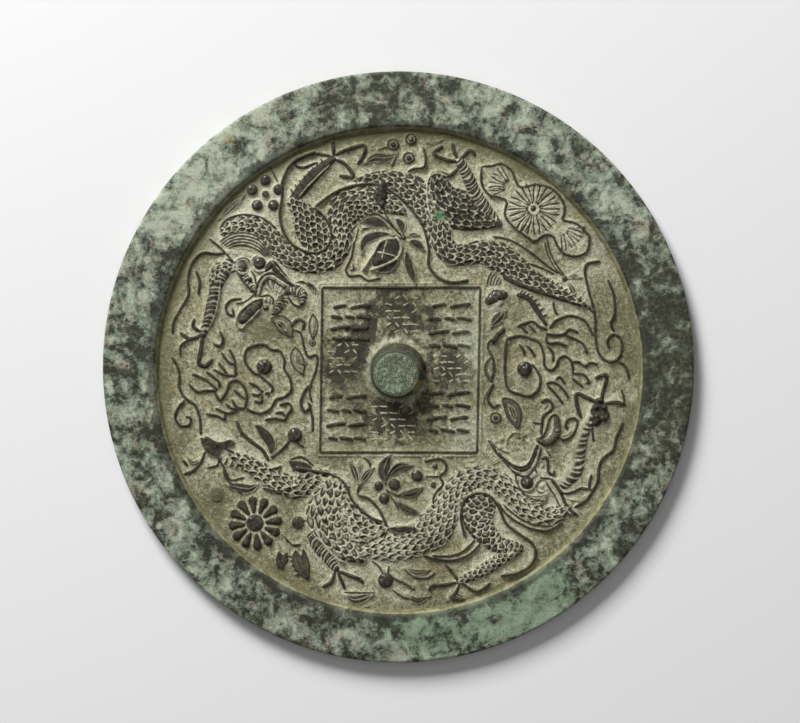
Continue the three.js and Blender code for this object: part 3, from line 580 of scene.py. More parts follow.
    def whiskers(self) -> None:
        """Long whiskers that trail along the rim."""
        self.line(0.6, 1.15, [-70.6+48.4j, -66+44.6j, -61.4+39.6j])
        self.line(0.75, 1.15, [-64+43j, -68+42.6j, -73+43j, -77+39.2j, -78.4+33j, -78.2+27.6j, -81+22.4j,
            -83.6+17.6j, -84.2+13j], [-75.6+36.4j, -74.1+32.4j, -74.6+27.6j])


@dataclass
class LowerDragon(Motif):
    """The dragon under the panel: head at the right, tail at the left."""

    def draw(self) -> None:
        """Draw every part of it."""
        self.bodies()
        self.trailing_foreleg()
        self.haunch()
        self.tail()
        self.head()
        self.raised_foreleg()
        self.horn()

    def bodies(self) -> None:
        """Neck and front body with their hems."""
        self.form([62.5-52j, 58-54.6j, 52-54.4j, 46-50.6j, 41-45.4j, 35.5-41.6j, 29-40.4j, 23.6-43j, 20-48j,
            17.2-54j, 12.6-60.5j, 6-64.5j, -1-66.6j, -8-67.4j, -12-68j], [2, 3.6, 4.2, 4.2, 4.2, 4.4, 4.6,
            4.6, 5, 6.2, 7.2, 6.2, 5.4, 4.6, 2], 1.75, detail=fish_scales(2.8, 2.3, 0.6, worn=-0.06))
        self.line(0.72, 2.2, [24.6-62.4j, 23.2-55j, 24.6-49j, 29-46.6j, 34-47.6j, 37.4-52j, 40-57.6j,
            45-61.6j, 49.6-65j, 51-69j, 49-73.4j, 44-76.2j, 38-77.2j])
        self.line(0.6, 1.6, [37-50j, 40-54j, 44.6-57.4j, 50-59.8j, 56-60.2j, 61-57.2j])
        self.line(0.45, 1.6, [39-50.6j, 42-53.4j, 46.6-56.6j, 52-58.4j, 57.6-58.4j])
        self.line(0.5, 2, [33.4-66j, 28.4-62.4j, 25-58.6j, 23.8-54j])
        self.line(0.6, 1.7, [30.5-65.2j, 26-69.4j, 20-71.4j, 13.6-70.8j, 9-69.4j])
        self.line(0.45, 1.7, [28.6-63.6j, 24-68j, 18.6-69.8j, 12.4-69.6j])

    def trailing_foreleg(self) -> None:
        """Shoulder, arm and claw under the neck."""
        # coil of the body under the shoulder
        self.form([30.4-51j, 29.6-56j, 32-61j, 37.4-65.6j, 44.4-67j], [6, 6.4, 4.6, 3.4, 2.2], 2.1,
            fullness=0.45, detail=fish_scales(1.8, 3.4, 0.55, worn=0.08))
        self.form([44.6-67.6j, 38.6-70.6j, 33.2-74.2j, 27.6-77.2j, 22.6-79.4j], [2, 2.5, 2.6, 2, 1.4], 1.9,
            detail=fish_scales(1.9, 1.8, 0.5, worn=0.05))
        self.claw(0.8, [22.4-79.2j, 20-76j, 17.4-73j], [22-79.6j, 17-80.6j, 12.6-80.8j, 11.2-82.6j],
            [22.6-80.4j, 21.4-83.4j, 20-85.8j, 24.6-86j])
        self.claw(0.7, [23.4-79.6j, 29-83j, 34-80j])

    def haunch(self) -> None:
        """Rear body, haunch, shank and claw."""
        # rear body
        self.form([-20.6-45j, -26-42.4j, -32-42j, -38-44.4j, -44.4-42.6j, -50-39.2j, -56-35.6j, -62-32j],
            [3, 4.4, 4.6, 4.4, 4.4, 4, 3.2, 1.6], 1.75, detail=fish_scales(2.8, 2.2, 0.55))
        # thigh, and the body that runs out of it to the right
        self.form([-4.6-59.4j, -9.4-60.6j, -14-60j, -18-56j, -22-52j], [1.4, 4.6, 6.6, 7, 5], 1.7,
            detail=fish_scales(3.1, 2.6, 0.5, worn=0))
        self.form([-25-44.6j, -26-50j, -26-56j, -23.4-62j, -19-67j, -14-70.5j],
            [5.4, 7.6, 8.8, 7.6, 5.2, 2.2], 2.5, fullness=0.4, detail=fish_scales(3.3, 2.7, 0.5, worn=-0.04))
        self.line(0.5, 2.3, [-31-60j, -27.4-66j, -23.6-70.2j, -20-72.6j], bare=0.3)
        self.form([-32-62.6j, -29.4-66.6j, -26.4-70.4j, -23.6-74.2j], [2.2, 2.6, 2.3, 1.7], 1.9,
            detail=belly_ribs(1.4, 0.45, worn=0.1))
        self.claw(1, [-22.8-75.4j, -19-76.8j, -14.4-78.6j, -13.2-80j], [-23.6-75.6j, -25-79.4j, -28.4-81.4j],
            [-22.6-76j, -21-79.6j, -20-82j])
        self.line(0.72, 2.5, [-38.6-37j, -30-38.4j, -24.4-39.8j, -20-43j, -17.6-48.4j, -14-52.6j, -9.6-55.8j,
            -6-57j])
        self.line(0.72, 1.9, [-15.2-47.2j, -11.4-48.4j, -8-51.6j, -6-55j, -4.4-58.4j])
        self.line(0.5, 2, [-50.6-44.4j, -45-45.6j, -40-44.8j, -36.4-42j, -33-38.8j])

    def tail(self) -> None:
        """Fringe of the tail."""
        self.plate([-74-25.6j, -70-26.4j, -66.6-27.4j, -62.4-26.4j, -61.4-28.4j, -65.6-30j, -67.4-32.6j,
            -71-31.4j, -73-28.6j, -74-25.6j], 1.9, bare=0.95)
        self.series(9, [-66-32.4j, -66.4-34.1j, -67.2-35j], 2.1-0.72j, 0.4, 1.5, 0.85)
        self.line(0.7, 1.7, [-72-25.4j, -66-28.8j, -59-32.4j, -54-34.4j, -48-37.4j, -43.6-36.4j])

    def head(self) -> None:
        """Head in profile, looking up to the left, and whiskers to the corner of the square."""
        self.jaws()
        self.brow()
        self.beard()
        self.series(7, [33-29.4j, 30.4-33.4j, 26.4-34.6j], [0.935-0.6375j, 0.765-0.425j, 0.595-0.3825j],
            0.26, 0.75, 0.3)

    def jaws(self) -> None:
        """Upper jaw of three lips, the rough mouth and the tongue."""
        for lip, (half, bare) in enumerate(((0.5, 0.9), (0.75, 0.95), (0.4, 0.15), (0.6, 0.9))):
            outward = 1.15 * lip * np.array([1.2-1.3j, 1-1.1j, 0.7-1j, 0.4-1j, 0.4-1j, 0.5-0.7j,
                                             0.6-0.5j, 0.4-0.3j])
            self.line(half, 2 - 0.1 * lip, outward + [33.4-26.6j, 35.6-30.2j, 39-33.2j, 42.4-35.8j,
                46.4-36.6j, 49-34.4j, 50.2-31.4j, 51.6-28.2j], bare=bare)
        self.form([42.6-28.4j, 45-31.4j, 48.4-32.6j], [2.6, 3.2, 1.8], 1.2, bare=0.02)
        self.form([48.6-27.4j, 50-29.4j], [1.2, 1.4], 1.3, bare=0.05)
        for place, radius in ((36-27.4j, 1.3), (38.6-26.4j, 1.1), (37.8-29.4j, 1.2), (44.4-25.4j, 1.2),
                (41.4-27.2j, 0.9), (47-24.9j, 0.7)):
            self.boss(place, radius, 1.2, bare=0.35)
        self.line(0.5, 1.3, [40.6-28.8j, 40.8-26j, 43.2-24j, 46-24.8j, 46.4-27.2j], bare=0.5)
        self.line(0.4, 1.2, [34-26.4j, 35.6-28.4j, 38-30.4j, 41.6-31.4j], bare=0.7)

    def brow(self) -> None:
        """Eyes with their rings and creases, the cheek and its folds."""
        self.form([51.8-38.6j, 54.2-41.6j, 54.4-44.6j, 51.6-47.2j], [2, 2.8, 2.8, 1.8], 1.2, bare=0.25)
        self.boss(47.8-42.4j, 2.7, 2.5)
        self.arc(47.8-42.4j, 3.3, 150, 345, 0.4, 1.8, 0.6)
        self.arc(53.4-43.8j, 2.4, -10, 300, 0.4, 1.8, 0.6)
        self.boss(53.4-43.8j, 1.3, 1.8, bare=0.2)
        self.line(0.5, 1.7, [43.4-38.6j, 44-42.4j, 45.8-45.6j, 49.4-48.4j, 54.4-49.4j], bare=0.85)
        self.line(0.6, 1.7, [50.8-37j, 52.4-40.4j, 56.4-41j])
        self.form([49.6-40.8j, 51.6-39.6j, 52.4-41j], [0.9, 1.2, 0.8], 1.9)
        self.series(5, [45.4-45.6j, 48.4-47.2j, 52.6-47.6j, 56.4-46.4j],
            [0.475-0.95j, 0.285-0.95j, 0-0.8075j, -0.285-0.665j], 0.3, 1.6, 0.65)
        self.line(0.75, 1.6, [53-33.8j, 55-33.2j, 55.6-36j, 55.8-38.6j, 57.6-39.4j, 58-38j])
        self.line(0.35, 1.5, [51.4-36.4j, 52.6-34.4j, 54-35j, 53.6-37j], bare=0.2)
        self.line(0.5, 1.2, [55-30.4j, 56.6-32.6j])
        self.series(6, [57.6-42.8j, 60.2-41.2j, 62-42.6j, 62.4-45.4j],
            [1.425+0.57j, 1.33+0.57j, 1.178+0.38j, 1.14-0.19j], 0.3, 1.1, 0.35)

    def beard(self) -> None:
        """Lower jaw, its ridged curl and the hooked lobes over it."""
        self.form([52-26.6j, 54.6-27.8j, 57.4-26.4j, 59-22.6j, 58.6-18.8j], [0.9, 1.4, 1.7, 1.4, 0.9], 1.9,
            detail=belly_ribs(0.9, 0.35, worn=0.25))
        self.line(0.55, 1.7, [51.6-26.4j, 54-24.8j, 55.4-21.4j, 56.4-18.4j, 58.4-17.2j, 59.8-19.2j, 60-23.4j,
            58.6-27.2j])
        self.line(0.8, 1.3, [53.2-24.8j, 53.4-20.8j, 54-17.6j, 56.8-15.6j, 57.2-13.2j, 55.2-11.6j, 53-12.6j])
        self.line(0.5, 1, [54.4-14.8j, 55.4-13.4j], bare=0.4)
        self.line(0.6, 1, [53.4-20.8j, 50-20j])
        self.line(0.7, 1.3, [59.4-25.6j, 62-26.6j, 65-24.6j, 66.6-20.6j, 65.8-18.6j, 63.2-19j, 62.2-21j,
            63-22.8j])
        self.line(0.35, 1, [61-25j, 63.4-24.4j, 65-21.8j], bare=0.3)

    def raised_foreleg(self) -> None:
        """Leg and claw that reach up by the rim, and the ribbon beside them."""
        self.form([62-42.6j, 65.4-38.6j, 67-33j, 68-27.4j, 70-22j, 72-18.4j], [2.4, 3, 2.6, 2.4, 2.2, 1.6],
            1.8, detail=belly_ribs(2.2, 0.6, worn=-0.08, lean=-1.2))
        self.form([73.4-19.6j, 74.6-16j, 75-12.4j], [2.2, 3.2, 1.8], 1.9, bare=0.92)
        for place, radius in ((73.4-14.4j, 1.5), (76.4-14.4j, 1.6), (73.8-17.8j, 1.3), (76-18.6j, 1.4),
                (75-11.8j, 1.2)):
            self.boss(place, radius, 2.6)
        self.claw(1, [75.4-13.6j, 76-9.4j, 77.4-2.6j, 73.2-3.6j])
        self.claw(1.1, [75-13.4j, 70.4-11j, 66.4-9.6j, 66.6-14j, 68-18.4j])
        self.claw(1, [76-13.4j, 81-12.6j, 84.6-13.6j])
        self.claw(0.6, [82.8-7.6j, 83.8-10.4j, 84-13j])
        self.claw(0.8, [76-14.4j, 78-17j, 77-20j])
        self.line(0.8, 1.15, [83.4-20j, 82.4-23j, 80.8-26.6j, 80-30.4j, 76-33.6j, 74.6-37.4j, 74.2-42j,
            72.4-45.6j, 70-49j, 65.6-51.8j], [72-39.6j, 71-43.6j, 71.8-46j])
        self.line(0.6, 1.15, [73.8-17.4j, 72.2-21j, 72.6-27j])

    def horn(self) -> None:
        """Horn that trails over the neck."""
        for side, (half, bare) in enumerate(((0.9, 0.95), (0.4, 0.2), (0.5, 0.8))):
            drift = side * np.array([-1.1-0.6j, -1.1-0.6j, -1-0.4j, -1.3])
            self.line(half, 1.7, drift + [56.8-41j, 60.2-46j, 62.8-51.6j, 66.4-54.6j], bare=bare)
        self.line(0.7, 1.3, [59.8-45.8j, 62-46.6j, 65-46j, 68-44.6j, 70.6-45j])
        self.series(5, [61.6-47.8j, 64.4-49j, 67.2-48.6j], [1-0.35j, 1-0.1j, 0.6+0.4j], 0.26, 1, 0.35)


# ---- Flowers, fruit and leaves ----

@dataclass
class Flower(Motif):
    """A blossom of domed petals round a core."""

    middle: complex
    petals: int
    inner: float
    outer: float
    petal_half: float
    core: float
    turn: float = 0.0
    rise: float = 1.5
    round_petals: bool = False

    def draw(self) -> None:
        """Draw the petals at even turns, then the core."""
        for petal in range(self.petals):
            outward = np.exp(1j * math.radians(self.turn + 360 * petal / self.petals))
            foot, tip = self.middle + self.inner * outward, self.middle + self.outer * outward
            if self.round_petals:
                self.boss(tip, self.petal_half, self.rise)
            else:
                self.form([foot, tip], [0.35 * self.petal_half, self.petal_half], self.rise, bare=0.9)
        self.boss(self.middle, self.core, self.rise * 1.15, fullness=0.35)


@dataclass
class LotusLeaf(Motif):
    """Broad veined leaf with two smaller lobes, and its stems."""

    middle: complex = 50.4+59.4j
    rise: float = 1.15
    veins: int = 24
    outline: Places = field(default_factory=lambda: [31+75.2j, 34.6+75.4j, 38.4+76.2j, 42+73.6j, 43.6+70j,
        45.6+67.4j, 51+68.4j, 57+67j, 61+62.4j, 61.8+58.6j, 61.2+55.4j, 66+54j, 69.4+51j, 71+48.6j, 70+43.6j,
        66+41.8j, 61.4+43j, 59+46j, 57.6+49j, 54.6+49.8j, 50.6+47.6j, 46.4+50j, 42+53.6j, 39.6+57.4j,
        40.2+62j, 37.4+63.8j, 33.6+64.8j, 31+69j, 31+75.2j])

    def draw(self) -> None:
        """Draw the leaf, its veins and its stems."""
        self.plate(self.outline, self.rise, bare=0.3)
        self.line(0.7, 1.6, self.outline)
        step = 360 / self.veins
        self.rays(self.middle, (1.8, 10), (0, 360 - step), self.veins, bare=0.9)
        self.rays(self.middle, (2.6, 9.4), (step / 2, 360 - step / 2), self.veins, bare=0.1)
        # the lobes fan out from the big leaf
        for centre, turn in ((42.4+67.6j, 161), (60.4+52.8j, -45)):
            self.rays(centre, (2.4, 9.2), (turn - 42, turn + 42), 8, bare=0.85)
            self.rays(centre, (3.2, 8.8), (turn - 36, turn + 36), 7, bare=0.1)
        self.boss(50.2+59.6j, 1.3, 1.9)
        self.stems()

    def rays(self, centre: complex, reach: Place, turn: Place, count: int, bare: float) -> None:
        """Veins at even turns about a centre.

        Args:
            centre: Where they meet.
            reach: Distance of their inner and outer ends.
            turn: First and last angle, in degrees.
            count: How many.
            bare: Bareness of their crests.
        """
        for index, angle in enumerate(np.radians(np.linspace(*turn, count))):
            bends = 0.05 * math.sin(2.4 * index) * np.array([0, 1, -1])
            ray = np.array([reach[0], sum(reach) / 2, reach[1]]) * np.exp(1j * (angle + bends))
            self.line(0.5, 1.65 + 0.1 * math.sin(1.7 * index), centre + ray, bare=bare)

    def stems(self) -> None:
        """Stems under the leaf and the knot that they meet in."""
        self.line(0.5, 0.9, [55.2+49j, 56.4+43.4j, 59+38.4j, 61.8+34.6j], [47+39.4j, 52+38j, 58+35.2j])
        self.line(0.4, 0.9, [54.4+47.4j, 55.6+42.6j, 58+37.8j, 61.2+34.4j])
        self.line(0.6, 1.1, [35+49.2j, 42+47.6j, 49+43.4j, 55+38.6j, 59.4+35.4j])
        self.boss(62+33.4j, 1.2, 1.1)
        self.leaf([62.4+33.4j, 65+34.4j, 68.6+33.8j], 1.2, 1)
        self.leaf([62.6+32.6j, 64.4+30j, 66.4+26.6j], 1.4, 1)
        self.leaf([61.4+33j, 58.8+31j, 58.4+28.6j], 1, 0.9)


@dataclass
class Sprays(Motif):
    """Fruit above the panel, plum blossom below it, and what is scattered by the rim."""

    def draw(self) -> None:
        """Draw all of them."""
        Flower(self.relief, -49.6+65j, 5, 3.6, 5.2, 2.3, 1.4, turn=18, rise=2, round_petals=True).draw()
        Flower(self.relief, -53.4-57.6j, 12, 4.3, 8.3, 1.8, 3.5, turn=6, rise=1.7).draw()
        self.fruit()
        self.plum_spray()
        self.by_the_top()
        self.lower_left()
        self.waves()

    def fruit(self) -> None:
        """Seamed fruit on its leafy spray."""
        # fruit with three seams
        self.form([-8+39.6j, -4.6+43j, -1.4+47.2j], [2, 4.6, 2.6], 1.9, bare=0.86)
        self.line(0.6, 2.3, [-0.4+48.6j, -6.4+47.4j, -9.6+42.4j, -13.4+36.4j], bare=0.1)
        self.line(0.4, 2.3, [-4+48.4j, -5.6+43.4j, -6.4+40j], [-8+43.4j, -4+42.6j, -1+41.6j], bare=0.1)
        self.line(0.6, 2.1, [-1+49.4j, 1.2+45j, -0.6+41j, -6+38.2j, -10.6+36.6j], bare=0.1)
        self.leaf([-14.2+54.4j, -9+54.6j, -3.4+52.6j], 2.3, 1.5, rib=False, bare=1, edged=0.3)
        self.line(0.5, 1.1, [-14.4+54j, -11.4+57j, -7+57j, -2.4+53j, 1.4+49j])
        for places, half in (([-13.8+42j, -12.4+47.6j, -7+49.8j, -1.6+49.6j], 1.9),
                ([-1.2+56j, 1+53.6j, 1.6+50j], 1.8), ([3+49j, 5.4+50j, 8+49.6j], 1),
                ([3.4+47.4j, 6.6+46.6j, 10+43.6j], 1.8), ([2.8+44.4j, 4+38j, 6.6+30.8j], 2),
                ([-8.6+36j, -3+37.6j, 0.4+41j], 1.7)):
            self.leaf(places, half, 1.6, rib=False, bare=1, edged=0.3)
        self.line(0.6, 1.1, [-16.4+47.6j, -17.4+42j, -18.6+39.2j, -19.6+36.6j, -18+34.4j, -14.4+34.6j,
            -11.4+32.8j, -6.6+33.8j])
        self.line(0.4, 1, [-17.2+39j, -16.6+37j, -18.2+36.6j])
        self.line(0.4, 0.9, [-16.2+47j, -14.8+52.6j])
        self.boss(1.8+48.8j, 1.1, 1.4)

    def plum_spray(self) -> None:
        """Blossoms on a spray, with a small cloud at their right."""
        self.leaf([-4.8-43j, -5.4-37.6j, -3-32j], 2.7, 1.6, bare=1, edged=0.4)
        self.leaf([-4.4-41.6j, -0.6-37.2j, 5.4-36j], 2, 1.5, bare=1, edged=0.4)
        self.line(0.4, 1.8, [-5-42j, -2.6-37.6j, -0.4-35.6j])
        self.leaf([0.2-46.6j, 4.6-46.6j, 9-44j], 1.8, 1.3, bare=1, edged=0.4)
        self.leaf([-1.4-49.2j, 3-52.4j, 9-54.6j], 1.6, 1.4, bare=1, edged=0.4)
        self.boss(-5.4-48.4j, 2.2, 1.6)
        self.boss(-7.4-43.8j, 1.9, 1.5)
        self.boss(-1.6-43.2j, 2.4, 1.8)
        self.boss(6.8-40j, 2.4, 1.6)
        self.line(0.4, 1, [-4.8-45j, -1.6-49.6j, 0-52.6j])
        self.line(0.35, 1, [-4.6-45j, 0-47.2j, 9-45.6j])
        self.line(0.6, 1.2, [9.6-34.6j, 15.4-33.6j, 17.6-35.6j, 17.4-38.2j, 15.4-40.2j, 16.6-43j, 14.4-45.6j,
            13-48.4j, 13-52.6j, 11-54.4j])
        self.line(0.45, 1, [10-40.2j, 15.4-40.2j])
        self.boss(13.6-36.4j, 1.1, 1)
        self.boss(13-43.4j, 1.2, 1)
        self.leaf([-4.4-59.2j, 0.6-60.2j, 6-59j], 1.6, 2.9, rib=False, bare=1, edged=0.5)
        self.leaf([-18.8-63.2j, -13-62j, -5.4-60.4j], 2, 2.3)
        self.line(0.4, 1.4, [-4.4-58.4j, -5-62.6j, -8-66j])
        # trefoil to the left
        for places, half in (([-18.2-34.4j, -16.4-38.6j, -15-43.6j], 1.6),
                ([-15-34j, -14.4-37j, -14.6-41j], 1.1), ([-9-36.6j, -12-39.4j, -14.6-43.6j], 1.5)):
            self.leaf(places, half, 1.4, bare=0.95, edged=0.3)
        self.line(0.6, 1.2, [-13.2-33j, -11-34.8j, -10.2-38j], [-14.8-43.8j, -15.4-47j])
        # bud over the body
        self.form([-6.2+61.4j, -6.8+64.6j, -5.4+69.4j], [1.3, 2.7, 0.6], 1.5, base=1.7, bare=1)
        self.line(0.45, 2.2, [-6.2+61j, -4.4+56.4j, -1.6+52.6j, 0.4+50j])

    def by_the_top(self) -> None:
        """Berries, leaves and a hooked tendril under the top of the rim."""
        self.line(0.45, 0.7, [-48+75.6j, -46+71.4j, -44.8+69.4j])
        self.leaf([-67.4+55.2j, -62+60j, -57.4+64.6j], 1.6, 1)
        self.line(0.4, 0.8, [-67.4+55j, -61.6+62.6j, -57+64.8j])
        self.boss(-2+83.4j, 2.5, 1.7, ring=True)
        self.boss(4.6+85.4j, 2.4, 1.7, ring=True)
        self.boss(3.8+78.4j, 2.5, 1.7, ring=True)
        self.leaf([-13.2+76j, -9+78.4j, -4+78.4j, 0+80.2j], 2.1, 1.2)
        self.line(0.5, 0.9, [-0.4+79.8j, -2.6+75.2j])
        self.line(0.6, 1.9, [9.2+82.4j, 10+78.4j, 9.4+75j, 5.6+74.4j, 3.4+73.2j])
        self.leaf([10+84.4j, 13+83.8j, 16.6+85.4j], 0.9, 0.9)
        self.leaf([12.6+88.4j, 16+88.2j, 20+86j], 1, 0.9)

    def lower_left(self) -> None:
        """Berries, buds and leaves round the daisy."""
        self.boss(-67.8-46.8j, 3.2, 1.1, bare=0.55)
        for place, radius, rise in ((-38.6-24.8j, 3, 2.3), (-37.4-57.4j, 2.6, 1.5),
                (-4.8-78.8j, 3.2, 2.1)):
            self.boss(place, radius, rise)
        for places in ([-5.6-77j, -7.4-73.6j, -10-71.6j], [-3-77.4j, 0.6-79.4j, 5.4-81.6j],
                [-4-76.6j, -3.6-73.4j], [-38.6-56j, -35-56.6j, -32-58.4j]):
            self.line(0.55, 1.3, places)
        self.line(0.7, 1, [-65-36.2j, -64.6-40j, -62-43.4j, -58-47j])
        self.leaf([-64.6-43.2j, -60-44.2j, -55.4-44.8j, -51.6-42.6j], 2.2, 1.2)
        self.line(0.6, 1, [-66.4-34.4j, -64.4-38.4j, -62.4-41.6j, -57.6-40.6j],
            [-71.4-37j, -67.4-36j, -67-33j], [-38-27.6j, -35.2-29.4j])
        self.leaf([-78.6-33j, -76.4-35.6j, -73.4-33.4j], 1.4, 1)
        self.line(0.8, 1, [-80-39.4j, -76.4-38j, -73.4-34.4j, -72-31j], [-80.4-34j, -78.6-36.4j])
        self.leaf([-54-20.6j, -50.6-23.6j, -47.6-28j, -47.4-33j], 2.5, 1.5, rib=False, bare=0.95)
        self.line(1, 1.2, [-60.4-19.6j, -58.4-24j, -54.6-27.4j, -50.6-30.6j, -48.4-34.4j])
        self.line(0.6, 1.1, [-47.4-33.6j, -43-29.6j, -40.2-26.6j])
        self.leaf([-63-22j, -61-23.6j, -60-26j], 0.8, 0.9)
        self.leaf([-41-34.4j, -37.4-36.4j, -32-37j], 2, 1.4, rib=False, bare=1, edged=0.8)
        self.series(4, [-39.6-36.2j, -39-38.4j], 2.2+0j, 0.5, 1.2)
        self.line(0.6, 1.2, [-40.4-34j, -36-33j, -31.6-36.4j])
        for places, half in (([-44.6-68j, -44.2-71j, -45-74.4j], 1.4),
                ([-41.6-68.4j, -42.6-71.4j, -44-74.6j], 1.3), ([-38.4-67.6j, -37.6-71.4j, -34-78.6j], 2.5),
                ([-35.6-67j, -34.6-72j, -33.6-78.4j], 1.4)):
            self.leaf(places, half, 1.3, bare=0.7, edged=0.9)
        self.series(5, [-39.8-70j, -41.3-69.9j], 0.7-1.7j, 0.4, 1.1)
        self.line(0.5, 1, [-42.6-62.6j, -39.6-65.6j, -36.4-65.4j])

    def waves(self) -> None:
        """Curled leaves along the foot of the rim."""
        self.leaf([-20.4-84j, -16-86.2j, -9-84j], 2, 1.1)
        self.line(0.45, 0.9, [-20.4-83.4j, -9-83.6j])
        self.leaf([2-84j, 7-86.4j, 12-84.6j], 1.6, 1)
        self.line(0.5, 1, [-2.4-82.4j, 2.4-85.4j, 8-86j, 12.4-84.8j], [2-74.6j, 6-77.8j, 10.6-78j, 13.6-76j])
        self.leaf([-1-77.6j, 2-80j, 6-82j], 1.2, 1.1)
        self.leaf([2-74.2j, 7-76j, 12-74.8j], 1.5, 1)
        self.leaf([18-87j, 21-84.6j, 25-86j], 1.6, 1)


# ---- Clouds, flames and vines ----

@dataclass
class Clouds(Motif):
    """A cloud with a pearl and flames at each side of the panel, and the scrolls by the rim."""

    half: float = 0.72
    rise: float = 1.25

    def draw(self) -> None:
        """Draw both sides."""
        self.left()
        self.right()
        self.vines()

    def left(self) -> None:
        """Cloud, pearl, flames and scroll at the left."""
        self.boss(-50+0.6j, 3.2, 2.5)
        self.line(self.half, self.rise,
            [-52.4-2.6j, -55-0.6j, -57.3+3j, -56.8+6.6j, -54.4+8.4j, -50+8.8j, -47.4+7j, -44.4+6.6j,
             -42.6+3.4j, -42.6+0j, -40.4-3.8j, -40-8j, -42.4-10.6j, -45.6-11.6j, -47.6-14.8j, -51.2-16.7j,
             -55-15.9j, -57-14.4j],
            [-57.2-15j, -56.6-10j, -57.6-6.8j, -60-4.6j, -62.8-5.2j, -64-8.4j, -66.4-11.8j, -68.4-8.8j],
            [-67.6-8.4j, -72-8.2j, -75-8.6j, -78.2-5.8j],
            [-67.4-8j, -69.6-6j, -73-3.6j, -77-2j],
            [-67-7j, -67.2-4.6j, -71.8-1.2j],
            [-60.6-2.8j, -65-2.2j, -69-0.4j],
            [-63.6-2.4j, -65.4+0j, -67.2+2.2j],
            [-60.6-2.6j, -61+1.2j, -61.2+3.4j, -63+7.2j],
            [-61+1.4j, -63.4+2.4j, -66+6j],
            [-57-11.4j, -59-10j, -61.4-7.8j],
            [-56.8-14.6j, -60-14.6j, -62.2-11.4j],
            [-58.6-15j, -62-15j, -64.4-13j],
            [-60-15.8j, -64-16.6j, -68.2-14.8j],
            [-64.4-16.4j, -65-18.8j, -68-17.6j, -71.8-17j],
            [-50.4-9j, -53-6.6j, -55.8-5.2j],
            [-47.4-9j, -47-7j, -49.4-4.6j, -52.6-1.8j],
            [-50.8-9j, -52.6-10j, -54.6-9.4j],
            [-50.8-9.6j, -51.2-12.6j, -53.8-12j],
            [-49.8-9.4j, -48-9j],
            [-44.4-13.6j, -41-13j, -39.9-15j, -41.4-17.2j, -42.6-19.2j, -46-18.6j, -49.8-19.2j],
            [-45.8-16.6j, -43.4-16.4j, -42.4-18j],
            [-84.4+4.4j, -81.8-1j, -81.6-7j, -79.4-11j, -75.8-13.8j, -74-18.4j, -73.7-24.6j],
            [-79.6-11.8j, -82.2-14.8j, -83.2-18.4j, -81-21.4j, -78-21j, -77.4-18.6j, -79.2-17.8j])

    def right(self) -> None:
        """Cloud, pearl, flames and scroll at the right."""
        self.boss(47-0.2j, 3.1, 2.5)
        self.form([44.6+27.4j, 48.6+25.8j, 51.6+21.6j, 54.8+16.6j], [0.8, 1.1, 1.1, 0.7], 1.4, bare=0.9)
        for tooth in range(8):
            foot = 45.4+28.4j + 1.25 * tooth - (0.16 * tooth + 0.13) * tooth * 1j
            self.line(0.45, 1.3, foot + np.array([-0.6-1.2j, 0.2, 1+0.5j]))
        self.line(self.half, self.rise,
            [40.2+11j, 45+12.2j, 49+11.2j, 52.4+9.6j, 54+5.4j, 54.3+1.4j, 56.4-0.7j, 58.6+0.6j, 59.6+3.4j,
             62+4.6j, 64.4+2.4j, 65-2j],
            [40.2+11j, 39.6+5j, 39.7-3j, 41-7.8j, 45-9.5j, 49-10.2j, 52.2-7.4j, 52.8-3.6j, 51.4-0.6j,
             49.6+1.6j],
            [44.2+15.6j, 46.4+16.6j, 50+17.4j, 52.4+15.6j, 55.4+14.6j],
            [45.2+16j, 48+13.2j],
            [48.4+16.2j, 51+13.6j],
            [56.2+15j, 59+18j, 64+19.6j, 69+18j, 72+13.4j, 73+12j],
            [70+23.4j, 73.2+20.4j],
            [57.6+25j, 58+22.4j, 59+20j],
            [54.8+13j, 59+12.4j, 61.8+13j, 63.6+14.6j, 66.8+13.4j],
            [62+12.4j, 65.6+11j, 68.8+9j, 70.2+5.6j],
            [55.2+12.6j, 55.4+9.6j, 59.4+9.6j, 62.6+8.4j],
            [55.2+8.6j, 57.4+5.8j, 57.6+2.6j],
            [64.6+2.4j, 67+2.4j, 69.4+0.9j, 71.6+2.2j, 74+1.4j],
            [65-2j, 68.8-2.2j, 71-5j, 69.6-5.4j],
            [64.6-3.6j, 66.6-5.2j, 68.8-7j],
            [44.8+9j, 46.2+7.4j, 47.2+4.8j],
            [47.6+8.6j, 49.4+6.8j, 50.8+4.4j],
            [58.6-4.4j, 60-3.2j, 62-5.8j],
            [55-5.6j, 58-5.2j, 61.4-7.8j, 63.2-11j],
            [55.2-6j, 58.4-9.4j, 61.2-13j],
            [75+40j, 70.4+39j, 69.4+36j, 70.8+29j, 73+20.4j, 73.4+11j, 74.8+5.4j, 78+2.6j, 81.4+3.4j,
             83.2+7.6j, 82.4+11.4j, 79.6+12.6j, 77.8+10.2j, 78.6+7.6j],
            [78+33j, 80.2+27j, 80.4+20.4j, 79+17j, 80.2+13.8j],
            [81.4+3j, 84.6+0.6j, 86-4j])

